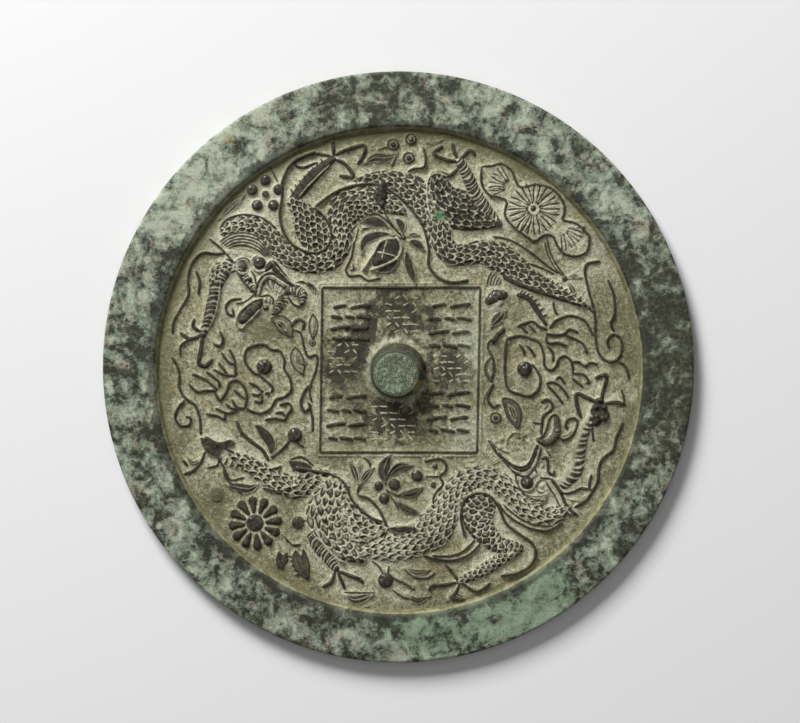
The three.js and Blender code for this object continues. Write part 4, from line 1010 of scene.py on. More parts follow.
    def vines(self) -> None:
        """Flowering vine down each side of the panel."""
        self.leaf([-47.6+18.8j, -44+17.2j, -41.4+14.4j, -39.8+11.6j], 3.1, 1.4, rib=False, bare=0.55,
            edged=0.95)
        self.leaf([-46+17.6j, -43.4+16j, -41.6+13.4j], 1.7, 1.9, bare=0.8)
        self.line(0.9, 1.2, [-40.2+15.6j, -37.4+18.2j, -35.2+17j, -35.8+14.2j])
        self.line(0.65, 1.2, [-39+14.4j, -36.4+13j, -35.4+9j, -33.8+4.4j, -30.8+5j, -30.2+2j, -31.2-2j,
            -33-6.4j])
        self.leaf([-32+20.6j, -31.6+16j, -32+11j], 2, 1.4, rib=False, bare=0.5, edged=0.95)
        self.leaf([-32+18.6j, -31.8+16j, -32+13j], 0.8, 1.8)
        self.boss(-32+9.6j, 1.5, 1, ring=True)
        self.leaf([-38.6+8.4j, -38+4j, -35.6-2.4j], 2.7, 1.4, rib=False, bare=0.45, edged=0.95)
        self.leaf([-38.2+6.4j, -37.6+3.6j, -36.4+0j], 1.2, 1.8)
        self.boss(-35.4+1.6j, 1.5, 1.2, ring=True)
        self.line(0.85, 1.4, [-33-6j, -35.2-9j, -36.4-13j, -35-16j, -32.9-14.4j, -33.8-12.6j])
        self.line(0.6, 1.2, [-32.4-5.4j, -33.2-9j, -32.2-12.6j])
        self.line(0.75, 1.2, [-33-14.6j, -32-19j, -32-23.4j])
        self.series(5, [32.8+31j, 33.6+34.4j, 35.2+36.4j], [1.1+0j, 1.1-0.4j, 0.8-0.7j], 0.3, 1)
        self.form([33.6+25.2j, 36.4+26.8j, 39+27.4j], [1.6, 2.7, 1.7], 1.9,
            detail=belly_ribs(1.9, 0.3, worn=0.5))
        self.form([37.6+24.6j, 36.8+22.6j, 38.6+20.8j], [1.8, 1.6, 0.8], 1.5)
        self.leaf([40+21.6j, 37+18.6j, 34.2+15.2j], 2.2, 1.4)
        self.line(1.2, 1.4, [39.4+14.8j, 36.6+12j, 35+9.4j])
        self.line(0.6, 1.1, [36+11.6j, 33.4+9.4j, 33.8+6.4j, 35.2+4j])
        self.leaf([35+4.8j, 34+0j, 34.6-5j], 2.3, 1.5, rib=False, bare=0.7, edged=0.95)
        self.leaf([34.8+3j, 34.2+0j, 34.5-3.4j], 1, 1.9)
        self.line(0.8, 1.2, [35.4-5.6j, 33.8-8.6j, 33.4-12j, 35.4-14.4j, 37.4-13.4j])
        self.line(0.4, 0.9, [34.6-7j, 32.4-10j, 31.8-13.6j])
        self.boss(36.2-18.4j, 2.4, 1.2, ring=True)
        self.leaf([38.6-10.8j, 42.4-15.2j, 44.4-22.4j], 3.1, 1.5, rib=False, bare=0.68, edged=0.95)
        self.leaf([40.6-13j, 42.6-16.4j, 43.6-20.4j], 1.4, 1.9)


# ---- The square panel and the knob ----

@dataclass
class BoldRows:
    """Rows of bold shallow strokes that stand for an inscription without spelling anything.

    Rows hold two and three strokes in turn; half a stroke is 0.26 to 0.42 of its share of the
    row, and strokes lean one way and the other by turns.
    """

    left: float
    top: float
    width: float
    pitch: float
    rows: int = 4
    half: float = 0.95
    rise: float = 1.0
    tilt: float = 0.16

    def draw(self, relief: ReliefField) -> None:
        """Draw the strokes row by row."""
        for row in range(self.rows):
            parts = 2 + row % 2
            share = self.width / parts
            for part in range(parts):
                half = share * (0.26 + 0.08 * ((row + 2 * part) % 3)) + 0.5
                middle = complex(self.left + share * (part + 0.5), self.top - row * self.pitch)
                slant = complex(half, half * self.tilt * (-1 if row % 2 else 1))
                relief.line(self.half, self.rise, [middle - slant, middle + 0.15j, middle + slant], tip=1.0)


@dataclass
class FineRows:
    """Rows of fine strokes, lined with earth, that spell nothing either."""

    left: float
    top: float
    width: float
    columns: int
    rows: int
    pitch: float = 2.5
    half: float = 0.3
    rise: float = 0.28

    def draw(self, relief: ReliefField) -> None:
        """Draw a slanting or level stroke for each column of each row, with gaps by turns."""
        share = self.width / self.columns
        for row in range(self.rows):
            for column in range(self.columns):
                kind = (row * 3 + column * 2 + self.columns) % 5
                if kind == 4:
                    continue
                middle = complex(self.left + share * (column + 0.5), self.top - row * self.pitch)
                across, up = ((0.42, 0.04), (0.3, 0.2), (0.44, -0.06), (0.2, -0.3))[kind]
                slant = complex(across * share, up * self.pitch)
                relief.line(self.half, self.rise, [middle - slant, middle + slant], tip=0.4, bare=-0.16)


@dataclass
class Panel(Motif):
    """Square panel: raised border, four bold blocks of strokes and four fine ones."""

    corners: Places = (-28.4+30.2j, 30.4+30.2j, 29.2-31.2j, -29.2-31.2j, -28.4+30.2j)
    middle: complex = 0.5-0.5j
    border_half: float = 0.7
    border_rise: float = 1.15
    bold: Sequence[BoldRows] = field(default_factory=lambda: [
        BoldRows(-25.6, 23, 15, 4), BoldRows(11, 23.4, 16, 5),
        BoldRows(-27, -10.6, 15, 5.2), BoldRows(10, -9.4, 16.6, 4.6)])
    fine: Sequence[FineRows] = field(default_factory=lambda: [
        FineRows(-5.4, 26.4, 13, 4, 6), FineRows(-26.4, 8.8, 11.6, 4, 5),
        FineRows(12.6, 4.6, 14, 5, 5, pitch=2.3), FineRows(-10.6, -14.2, 17, 5, 6, pitch=2.4)])

    def draw(self) -> None:
        """Draw the border, then every block."""
        for start, end in zip(self.corners[:-1], self.corners[1:]):
            side = np.array([start, end])
            self.line(self.border_half, self.border_rise, side, tip=0.5, bare=0.85)
            self.line(0.5, 0.75, self.middle + 1.046 * (side - self.middle), tip=0.5, bare=0.04)
        for block in (*self.fine, *self.bold):
            block.draw(self.relief)


def join_surface(name: str, corners: Array, faces: Array, flat_from: int | None = None) -> Piece:
    """Make an object from corners in millimetres and triangles.

    Args:
        name: What the piece is called.
        corners: Places, three columns.
        faces: Corner numbers, three columns, anticlockwise seen from outside.
        flat_from: First triangle that is shaded flat, if any is.

    Returns:
        The piece.
    """
    mesh = bpy.data.meshes.new(name)
    mesh.vertices.add(len(corners))
    mesh.vertices.foreach_set("co", (corners * MM).astype(np.float32).ravel())
    mesh.loops.add(faces.size)
    mesh.loops.foreach_set("vertex_index", faces.astype(np.int32).ravel())
    mesh.polygons.add(len(faces))
    mesh.polygons.foreach_set("loop_start", np.arange(0, faces.size, 3, dtype=np.int32))
    smooth = np.arange(len(faces)) < (len(faces) if flat_from is None else flat_from)
    mesh.polygons.foreach_set("use_smooth", smooth)
    mesh.update(calc_edges=True)
    piece = bpy.data.objects.new(name, mesh)
    bpy.context.scene.collection.objects.link(piece)
    return piece


def ring_band(inner: int, outer: int, count: int) -> Array:
    """Triangles from one ring to the next one out, both of the same number of corners."""
    j = np.arange(count)
    near, far = inner + j, inner + (j + 1) % count
    out, beyond = outer + j, outer + (j + 1) % count
    return np.concatenate([np.stack([near, out, beyond], 1), np.stack([near, beyond, far], 1)])


def fan(centre: int, first: int, count: int, under: bool = False) -> Array:
    """Triangles from a middle corner out to a ring, seen from above or from under."""
    near, far = first + np.arange(count), first + (np.arange(count) + 1) % count
    ends = (far, near) if under else (near, far)
    return np.stack([np.full(count, centre), *ends], 1)


@dataclass
class Knob:
    """Domed knob with a worn flat top, bored through for the cord."""

    x: float = -0.3
    y: float = -1.35
    radius: float = 10.4
    crown_radius: float = 7.9
    crown_place: Place = (-1.2, -2.6)
    tunnel_width: float = 6.4
    tunnel_height: float = 5.4
    tunnel_reach: float = 13.0
    sides: int = 160

    def height(self, x: Array, y: Array, top: float) -> Array:
        """Height of the knob over the ground.

        Round the crown the flank falls as top times the root of 1 - s squared, s being the share
        of the way from the crown's edge to the foot. The crown is a little hollow and bruised.

        Args:
            x: Places in millimetres.
            y: The same.
            top: Height of the crown over the ground.

        Returns:
            Heights.
        """
        foot = self.radius - np.hypot(x - self.x, y - self.y)
        crown = np.hypot(x - self.crown_place[0], y - self.crown_place[1]) - self.crown_radius
        share = np.clip(crown, 0, None) / np.maximum(np.clip(crown, 0, None) + np.clip(foot, 0, None), 1e-6)
        flank = (top - 0.12) * np.sqrt(np.clip(1 - share**2.4, 0, 1))
        bruise = 0.14 * value_noise(x, y, 3.1, 23) + 0.07 * value_noise(x, y, 1.2, 29)
        dish = 0.1 + 0.25 * smoothstep(-0.9, 0.2, crown)
        return flank - np.where(crown < 0.3, np.clip(dish + bruise, 0, 0.6), 0.25)

    def build(self, sizes: DiscSizes) -> Piece:
        """Make the knob and bore it.

        Rings lie closer together towards the foot: radius is the foot's radius times
        1 - (1 - t) to the 1.7.

        Args:
            sizes: Sizes of the casting.

        Returns:
            The finished piece.
        """
        angle = np.arange(self.sides) * (2 * math.pi / self.sides)
        shares = 1 - (1 - np.linspace(0, 1, 44)[1:])**1.7
        xs = np.concatenate([[self.x], *(self.x + self.radius * s * np.cos(angle) for s in shares)])
        ys = np.concatenate([[self.y], *(self.y + self.radius * s * np.sin(angle) for s in shares)])
        zs = sizes.ground + np.clip(self.height(xs, ys, sizes.knob_top - sizes.ground), -0.3, None)
        top = np.stack([xs, ys, zs], 1)
        buried = top[-self.sides:].copy()
        buried[:, 2] = sizes.ground - 0.7
        middle = [[self.x, self.y, sizes.ground - 0.7]]
        last = len(top)
        rings = range(1, last, self.sides)
        faces = [fan(0, 1, self.sides), *(ring_band(k, k + self.sides, self.sides) for k in rings),
                 fan(last + self.sides, last, self.sides, under=True)]
        piece = join_surface("knob", np.concatenate([top, buried, middle]), np.concatenate(faces))
        cutter = self.bore(sizes.ground)
        cut = piece.modifiers.new("bore", "BOOLEAN")
        cut.operation, cut.solver, cut.object = "DIFFERENCE", "EXACT", cutter
        graph = bpy.context.evaluated_depsgraph_get()
        bored = bpy.data.meshes.new_from_object(piece.evaluated_get(graph))
        piece.modifiers.clear()
        piece.data = bored
        bored.name = "knob"
        bored.set_sharp_from_angle(angle=math.radians(50))
        bpy.data.objects.remove(cutter, do_unlink=True)
        return piece

    def bore(self, ground: float) -> Piece:
        """Arched prism along X that the cord hole is cut with.

        Args:
            ground: Height of the ground, in millimetres.

        Returns:
            The cutter.
        """
        half, sides = self.tunnel_width / 2, 20
        straight = self.tunnel_height - half
        arch = [(-half, ground - 1.5), (half, ground - 1.5)]
        arch += [(half * math.cos(a), ground + straight + half * math.sin(a))
                 for a in np.linspace(0, math.pi, sides)]
        count = len(arch)
        corners = np.array([(x, self.y + y, z) for x in (-self.tunnel_reach, self.tunnel_reach)
                            for y, z in arch])
        j = np.arange(count)
        ahead = (j + 1) % count
        sides_a = np.stack([j, ahead, count + ahead], 1)
        sides_b = np.stack([j, count + ahead, count + j], 1)
        caps = [np.stack([np.zeros(count - 2, int), j[2:], j[1:-1]], 1),
                np.stack([np.full(count - 2, count), count + j[1:-1], count + j[2:]], 1)]
        return join_surface("cord_hole_cutter", corners, np.concatenate([*caps, sides_a, sides_b]))


# ---- The casting ----

def value_noise(x: Array, y: Array, size: float, seed: int) -> Array:
    """Smooth seeded noise from -1 to 1, with lumps about the given size across.

    Each place takes the smooth blend of four random values at the corners of its square.
    """
    table = np.random.default_rng(seed).uniform(-1, 1, (64, 64))
    u, v = x / size + 32, y / size + 32
    i, j = np.floor(u).astype(int), np.floor(v).astype(int)
    fu, fv = smoothstep(0, 1, u - i), smoothstep(0, 1, v - j)

    def corner(di: int, dj: int) -> Array:
        """Random values at one corner of every square."""
        return table[(j + dj) % 64, (i + di) % 64]
    near = corner(0, 0) * (1 - fu) + corner(1, 0) * fu
    far = corner(0, 1) * (1 - fu) + corner(1, 1) * fu
    return near * (1 - fv) + far * fv


class Quarter(Enum):
    """The four quarters that the sunk field is made in, and where each one starts, in degrees."""

    RIGHT = -45
    UPPER = 45
    LEFT = 135
    LOWER = 225


@dataclass
class Field:
    """Sunk field with its relief, in four closed quarters that meet at the panel's corners."""

    sizes: DiscSizes
    relief: ReliefField
    knob: Knob
    rings: int = 304
    wave: float = 0.12
    bottom: float = 2.0
    overlap: float = 0.1

    def surface(self, x: Array, y: Array) -> Array:
        """Height of the field at places in the mirror's frame.

        The ground waves a little and carries pits; round the knob it rises in a fillet.

        Args:
            x: Places in millimetres.
            y: The same.

        Returns:
            Heights over the polished face, in millimetres.
        """
        height = self.sample(self.relief.height, x, y)
        swell = self.wave * (0.6 * value_noise(x, y, 17, 3) + 0.4 * value_noise(x, y, 6, 5))
        pits = 0.07 * value_noise(x, y, 1.9, 7) + 0.05 * value_noise(x, y, 0.8, 9)
        from_knob = np.hypot(x - self.knob.x, y - self.knob.y) - self.knob.radius
        fillet = 0.9 * np.exp(-(np.clip(from_knob, 0, None) / 1.3)**1.5)
        quiet = 1 - 0.6 * smoothstep(0.3, 1.2, height)
        return self.sizes.ground + np.maximum(height, fillet) + quiet * (swell + pits) - 0.06

    def sample(self, raster: Array, x: Array, y: Array) -> Array:
        """Read a raster of the design at places in the mirror's frame, blending four cells."""
        step, half = self.relief.step, self.relief.half
        u = np.clip((x + half) / step, 0, raster.shape[1] - 1.001)
        v = np.clip((y - self.sizes.design_drop + half) / step, 0, raster.shape[0] - 1.001)
        i, j = u.astype(int), v.astype(int)
        fu, fv = u - i, v - j
        low = raster[j, i] * (1 - fu) + raster[j, i + 1] * fu
        high = raster[j + 1, i] * (1 - fu) + raster[j + 1, i + 1] * fu
        return low * (1 - fv) + high * fv

    def build(self, quarter: Quarter) -> Piece:
        """Make one closed quarter.

        Ring k has 2 k + 1 corners over the quarter's 90 degrees, so corners are about as far
        apart along a ring as rings are. Walls and a flat bottom close it out of sight.

        Args:
            quarter: Which one.

        Returns:
            The piece.
        """
        n = self.rings
        span = self.sizes.ground_radius - self.overlap
        ring = np.repeat(np.arange(n + 1), 2 * np.arange(n + 1) + 1)
        place = np.arange(len(ring)) - ring**2
        angle = np.radians(quarter.value + 90 * place / np.maximum(2 * ring, 1))
        x = self.sizes.field_centre[0] + span * ring / n * np.cos(angle)
        y = self.sizes.field_centre[1] + span * ring / n * np.sin(angle)
        top = np.stack([x, y, self.surface(x, y)], 1)
        faces = []
        for k in range(n):
            j = np.arange(k + 1)
            for sector in (0, 1):
                inner = k * k + sector * k + j
                outer = (k + 1)**2 + sector * (k + 1) + j
                faces.append(np.stack([inner, outer, outer + 1], 1))
                faces.append(np.stack([inner[:-1], outer[:-1] + 1, inner[1:]], 1))
        k = np.arange(n + 1)
        loop = np.concatenate([k**2, n * n + np.arange(1, 2 * n), (k**2 + 2 * k)[:0:-1]])
        low = top[loop]
        low[:, 2] = self.bottom
        middle = low.mean(0, keepdims=True)
        total, count = len(top), len(loop)
        j = np.arange(count)
        ahead = (j + 1) % count
        walls = [np.stack([loop[j], total + j, total + ahead], 1),
                 np.stack([loop[j], total + ahead, loop[ahead]], 1),
                 fan(total + count, total, count, under=True)]
        skin = np.concatenate(faces)
        return join_surface(f"field_{quarter.name.lower()}", np.concatenate([top, low, middle]),
                            np.concatenate([skin, *walls]), flat_from=len(skin))


@dataclass
class Rim:
    """Raised rim, edge and polished face in one closed ring and plate, with a seat for the field."""

    sizes: DiscSizes
    seat: float = 2.2
    count: int = 1200
    ring_step: float = 0.75

    def profile(self) -> list[tuple[float, float, float]]:
        """Rings from the seat outwards and under: radius, height, share of the disc's own centre."""
        s = self.sizes
        foot, lip = s.ground_radius, s.lip_radius
        rows = [(foot - 0.9, self.seat, 0.0), (foot - 0.75, s.ground - 0.35, 0.0),
                (foot - 0.45, s.ground - 0.05, 0.0), (foot - 0.1, s.ground + 0.12, 0.0)]
        rise = s.rim_top - 0.45 - s.ground
        rows += [(foot + (lip - foot) * t, s.ground + rise * u, 0.0)
                 for t, u in ((0.15, 0.22), (0.35, 0.48), (0.6, 0.76), (0.8, 0.92), (1, 1))]
        rows += [(lip + 0.25, s.rim_top - 0.24, 0.0), (lip + 0.55, s.rim_top - 0.1, 0.02),
                 (lip + 0.9, s.rim_top - 0.03, 0.04)]
        inner, corner = lip + 1.3, s.outer - s.rim_round
        rings = int((corner - inner) / self.ring_step)
        rows += [(inner + (corner - inner) * t, s.rim_top, max(t, 0.05)) for t in np.linspace(0, 1, rings)]
        for angle in np.linspace(0, math.pi / 2, 7)[1:]:
            rows.append((corner + s.rim_round * math.sin(angle),
                         s.rim_top - s.rim_round * (1 - math.cos(angle)), 1.0))
        rows += [(s.outer, z, 1.0) for z in np.linspace(s.rim_top - s.rim_round, s.face_edge, 7)[1:]]
        rows += [(s.outer - 0.3, 0.25, 1.0), (s.outer - s.face_edge, 0.0, 1.0)]
        return rows + [(radius, 0.0, 1.0) for radius in (100.0, 85.0, 65.0, 45.0, 25.0, 10.0)]

    def wear(self, x: Array, y: Array, radius: float, height: float) -> Array:
        """How far the rim is worn, waved and nicked below its full size, in millimetres."""
        s = self.sizes
        if height < s.rim_top - s.rim_round:
            return np.zeros_like(x)
        at = np.full_like(x, radius)
        fade = smoothstep(s.lip_radius - 1.0, s.lip_radius + 0.6, at)
        swell = 0.5 + 0.35 * value_noise(x, y, 14, 11) + 0.15 * value_noise(x, y, 4, 13)
        nicks = np.clip(value_noise(x, y, 2.6, 17) - 0.5, 0, 1)
        near_edge = 1 + 0.9 * smoothstep(s.outer - 4, s.outer - 1, at)
        return fade * near_edge * (0.12 * swell + 0.22 * nicks)

    def build(self) -> Piece:
        """Make the closed piece: rings of the profile, with a fan at the seat and at the face."""
        s = self.sizes
        angle = np.arange(self.count) * (2 * math.pi / self.count)
        corners = [np.array([[*s.field_centre, self.seat]])]
        for radius, height, share in self.profile():
            x = s.field_centre[0] * (1 - share) + radius * np.cos(angle)
            y = s.field_centre[1] * (1 - share) + radius * np.sin(angle)
            corners.append(np.stack([x, y, height - self.wear(x, y, radius, height)], 1))
        last = 1 + (len(corners) - 2) * self.count
        rings = range(1, last, self.count)
        faces = [fan(0, 1, self.count), *(ring_band(k, k + self.count, self.count) for k in rings),
                 fan(last + self.count, last, self.count, under=True)]
        corners.append(np.zeros((1, 3)))
        return join_surface("rim_and_face", np.concatenate(corners), np.concatenate(faces))


# ---- What lies on the bronze ----

@dataclass(frozen=True)
class Patch:
    """A spot where the patina differs: place and reach in millimetres, and how strongly."""

    x: float
    y: float
    reach: float
    amount: float
    stretch: float = 1.0
    turn: float = 0.0

    def weight(self, x: Array, y: Array) -> Array:
        """Amount times exp(-(distance / reach) squared), with distance stretched along its turn."""
        c, s = math.cos(math.radians(self.turn)), math.sin(math.radians(self.turn))
        along = ((x - self.x) * c + (y - self.y) * s) / self.stretch
        across = (y - self.y) * c - (x - self.x) * s
        return self.amount * np.exp(-(along**2 + across**2) / self.reach**2)


@dataclass
class PatinaMap:
    """How pale, how green and how dark the bronze has turned, place by place, with painted light on the left
    of the knob's foot.
    """

    square_half: float = 28.6
    most: float = 1.5
    crust_everywhere: float = 0.7
    crusted: Sequence[Patch] = (
        Patch(112, 0, 40, -0.36), Patch(-80, 70, 26, 0.24), Patch(48, -88, 26, 0.24),
        Patch(-20, 104, 26, -0.12), Patch(-34, -96, 20, -0.14))
    pale: Sequence[Patch] = (
        Patch(-62, 31, 6, 0.7, 1.6, 80), Patch(4, 55, 7, 0.5), Patch(-5, -72, 8, 0.4),
        Patch(27, 4, 5, 0.8, 2.2, 85), Patch(-24, 27, 6, 0.3), Patch(23, 12, 6, 0.8), Patch(26, 27, 5, 0.4),
        Patch(-25, -28, 6, 0.4), Patch(25, -25, 7, 0.8), Patch(-60, 75, 16, 0.9, 2.6, 45),
        Patch(72, 66, 11, 0.6, 2.4, -48), Patch(88, 54, 3, 0.9, 1.8, 20), Patch(22, 96, 5, 0.5, 2.5, 0))
    green: Sequence[Patch] = (
        Patch(15.5, 56.4, 2.6, 1.6), Patch(30, -96, 13, 0.8, 2.8, 16), Patch(55, -82, 9, 0.7, 1.6, 35),
        Patch(-84, 8, 5, 0.5, 4, 88), Patch(0, -95, 6, 0.4, 2), Patch(75, -58, 6, 0.5, 2, 50),
        Patch(25, 10, 7, 0.5, 1.4, 80), Patch(-28, 88, 5, 0.3, 2, 20), Patch(-58, 44, 5, 0.45, 1.6, 0))
    dark: Sequence[Patch] = (
        Patch(25, 58, 9, 0.3, 1.5, 40), Patch(-50, -83, 7, 0.8, 1.6, -30), Patch(-5, -96, 6, 0.8, 2, 0),
        Patch(70, -82, 6, 0.9, 2, 45), Patch(100, 5, 18, 0.6, 2.4, 90), Patch(80, 45, 9, 0.7, 2, 120),
        Patch(1, 20.5, 9.5, 1.9, 1.3, -20), Patch(-20, 3.5, 8.5, 1.9, 1.4, 75),
        Patch(18.6, -1.5, 8, 1.8, 1.3), Patch(-2, -19.5, 8.5, 1.9, 1.6), Patch(-12, 13, 5, 0.8),
        Patch(12, 10, 4, 0.5), Patch(60, -20, 10, 0.4, 1.8, 70), Patch(0, 98, 7, 0.5, 3))

    def values(self, x: Array, y: Array) -> Array:
        """Pale, green, dark and crust shares at places in the mirror's frame; the pale share also carries
        painted light round the knob's foot.

        Args:
            x: Places in millimetres.
            y: The same.

        Returns:
            Four columns.
        """
        pale, green, dark, crusted = (sum(patch.weight(x, y) for patch in patches)
                                      for patches in (self.pale, self.green, self.dark, self.crusted))
        turn = np.arctan2(y, x)
        ragged = value_noise(x, y, 2.4, 31) + 0.6 * value_noise(x, y, 0.9, 32) - 0.8
        from_knob = np.hypot(x - Knob.x, y - Knob.y) - Knob.radius - 0.5
        # painted light: pale ring round the knob's foot, strongest on its left and fading out on its right,
        # away from the lamp; it also clears the dark patina there
        knob_lit_ring = np.exp(-((from_knob + 0.8 * ragged) / 1.1)**2)
        knob_lit_ring *= 0.5 - 0.5 * np.cos(turn - math.radians(-10)) * (0.6 + 0.4 * np.sin(3 * turn + 1))
        in_square = np.maximum(np.abs(x), np.abs(y + 0.5)) < self.square_half
        dark = dark * (1 + 0.35 * ragged) + in_square * (0.12 + 0.22 * ragged)
        dark = dark * (1 - np.clip(1.4 * knob_lit_ring, 0, 1))
        shares = (np.clip(part, 0, self.most) / self.most for part in (pale + 1.1 * knob_lit_ring, green, dark))
        return np.stack([*shares, self.crust_everywhere + crusted], 1)


def write_attribute(mesh: bpy.types.Mesh, name: str, values: Array) -> None:
    """Keep four numbers for each corner of a mesh under a name."""
    layer = mesh.color_attributes.new(name=name, type="FLOAT_COLOR", domain="POINT")
    layer.data.foreach_set("color", values.astype(np.float32).ravel())


def corner_places(mesh: bpy.types.Mesh) -> Array:
    """Places of a mesh's corners in millimetres, three rows."""
    flat = np.empty(len(mesh.vertices) * 3, np.float32)
    mesh.vertices.foreach_get("co", flat)
    return (flat.reshape(-1, 3).astype(float) / MM).T


@dataclass
class ReliefMaps:
    """What the field's finish needs to know of the relief, read at each corner.

    The channels are: how bare it is, height against the closest surroundings, how near relief
    stands, and height.
    """

    made: Field
    close: float = 0.5
    around: float = 3.0

    def __post_init__(self) -> None:
        """Work the rasters out once."""
        relief = self.made.relief
        near = relief.height - blurred(relief.height, self.close, relief.step)
        nearness = blurred(relief.height, self.around, relief.step)
        self.rasters = (relief.bare, 0.5 + near, nearness / 2, relief.height / 3)

    def store(self, piece: Piece) -> None:
        """Store them on a piece."""
        x, y, _ = corner_places(piece.data)
        columns = [self.made.sample(raster, x, y) for raster in self.rasters]
        write_attribute(piece.data, "relief_map", np.stack(columns, 1))


# ---- Finishes ----

Tone = tuple[int, int, int]


def linear(tone: Tone) -> tuple[float, float, float, float]:
    """Screen colour (0 to 255) as light: ((c + 0.055) / 1.055) to the 2.4 above 0.04."""
    shares = [value / 255 for value in tone]
    return (*(s / 12.92 if s <= 0.04045 else ((s + 0.055) / 1.055)**2.4 for s in shares), 1.0)


class NodeBench:
    """Short names for the shader nodes that a finish is put together from."""

    def __init__(self, name: str) -> None:
        """Start a material whose patterns are laid out in millimetres of the mirror's frame."""
        self.material = bpy.data.materials.new(name)
        self.material.use_nodes = True
        self.tree = self.material.node_tree
        self.tree.nodes.clear()
        seat = self.node("ShaderNodeTexCoord")
        scaled = self.node("ShaderNodeVectorMath", operation="SCALE")
        self.put(scaled.inputs[0], seat.outputs["Object"])
        self.put(scaled.inputs["Scale"], 1 / MM)
        self.place = scaled.outputs[0]
        split = self.node("ShaderNodeSeparateXYZ")
        self.put(split.inputs[0], self.place)
        self.x, self.y, self.z = split.outputs

    def node(self, kind: str, **options: object) -> bpy.types.Node:
        """Add a node and set its options."""
        made = self.tree.nodes.new(kind)
        for key, value in options.items():
            setattr(made, key, value)
        return made

    def put(self, socket: Socket, value: object) -> None:
        """Set a socket to a constant, or join it to another one."""
        if isinstance(value, Socket):
            self.tree.links.new(value, socket)
        else:
            socket.default_value = value

    def math(self, operation: str, a: object, b: object = 0.0,
             clamp: bool = False) -> Socket:
        """Sum, product or the like of two values."""
        made = self.node("ShaderNodeMath", operation=operation, use_clamp=clamp)
        for socket, value in zip(made.inputs, (a, b)):
            self.put(socket, value)
        return made.outputs[0]

    def add(self, *values: object) -> Socket:
        """Sum of several values."""
        total = values[0]
        for value in values[1:]:
            total = self.math("ADD", total, value)
        return total

    def times(self, *values: object) -> Socket:
        """Product of several values."""
        total = values[0]
        for value in values[1:]:
            total = self.math("MULTIPLY", total, value)
        return total

    def about(self, value: object, amount: float) -> Socket:
        """How far a value stands off a half, times an amount."""
        return self.times(self.math("SUBTRACT", value, 0.5), amount)

    def far_from(self, x: float, y: float) -> Socket:
        """Distance in plan from a place: the root of the sum of both squares."""
        aside, ahead = self.math("SUBTRACT", self.x, x), self.math("SUBTRACT", self.y, y)
        return self.math("SQRT", self.add(self.times(aside, aside), self.times(ahead, ahead)))

    def ramp(self, value: object, low: object, high: object, to_low: float = 0.0,
             to_high: float = 1.0) -> Socket:
        """Smooth step of a value between two limits."""
        made = self.node("ShaderNodeMapRange", interpolation_type="SMOOTHSTEP")
        for name, given in (("Value", value), ("From Min", low), ("From Max", high),
                            ("To Min", to_low), ("To Max", to_high)):
            self.put(made.inputs[name], given)
        return made.outputs["Result"]

    def mix(self, share: object, a: object, b: object) -> Socket:
        """Colour a turning to b; plain tones are turned to light."""
        made = self.node("ShaderNodeMix", data_type="RGBA", clamp_factor=True)
        a, b = (linear(c) if isinstance(c, tuple) else c for c in (a, b))
        for socket, value in ((made.inputs[0], share), (made.inputs[6], a), (made.inputs[7], b)):
            self.put(socket, value)
        return made.outputs[2]

    def noise(self, scale: float, detail: float = 4.0, rough: float = 0.55, warp: float = 0.0,
              seed: float = 0.0) -> Socket:
        """Cloudy noise about 0.5, its scale in lumps to a millimetre."""
        made = self.node("ShaderNodeTexNoise", noise_dimensions="4D")
        for name, value in (("Vector", self.place), ("W", seed), ("Scale", scale), ("Detail", detail),
                            ("Roughness", rough), ("Distortion", warp)):
            self.put(made.inputs[name], value)
        return made.outputs[0]

    def attribute(self, name: str) -> list[Socket]:
        """The four channels of a corner attribute."""
        made = self.node("ShaderNodeAttribute", attribute_name=name)
        split = self.node("ShaderNodeSeparateColor")
        self.put(split.inputs[0], made.outputs["Color"])
        return [*split.outputs, made.outputs["Alpha"]]

    def finish(self, tone: object, rough: object, metal: object, lumps: object, depth: float,
               polish: object = 0.0) -> bpy.types.Material:
        """Shade the piece.

        Args:
            tone: Colour.
            rough: Roughness.
            metal: Share of bare metal.
            lumps: Height of the fine bumps.
            depth: Millimetres that a bump of 1 stands for.
            polish: Share of the smooth dark skin that glints.

        Returns:
            The material.
        """
        bump = self.node("ShaderNodeBump")
        self.put(bump.inputs["Strength"], 1.0)
        self.put(bump.inputs["Distance"], depth * MM)
        self.put(bump.inputs["Height"], lumps)
        shader = self.node("ShaderNodeBsdfPrincipled")
        for name, value in (("Base Color", tone), ("Roughness", rough), ("Metallic", metal),
                            ("Coat Weight", polish), ("Coat Roughness", 0.24),
                            ("Normal", bump.outputs[0])):
            self.put(shader.inputs[name], value)
        out = self.node("ShaderNodeOutputMaterial")
        self.put(out.inputs[0], shader.outputs[0])
        return self.material


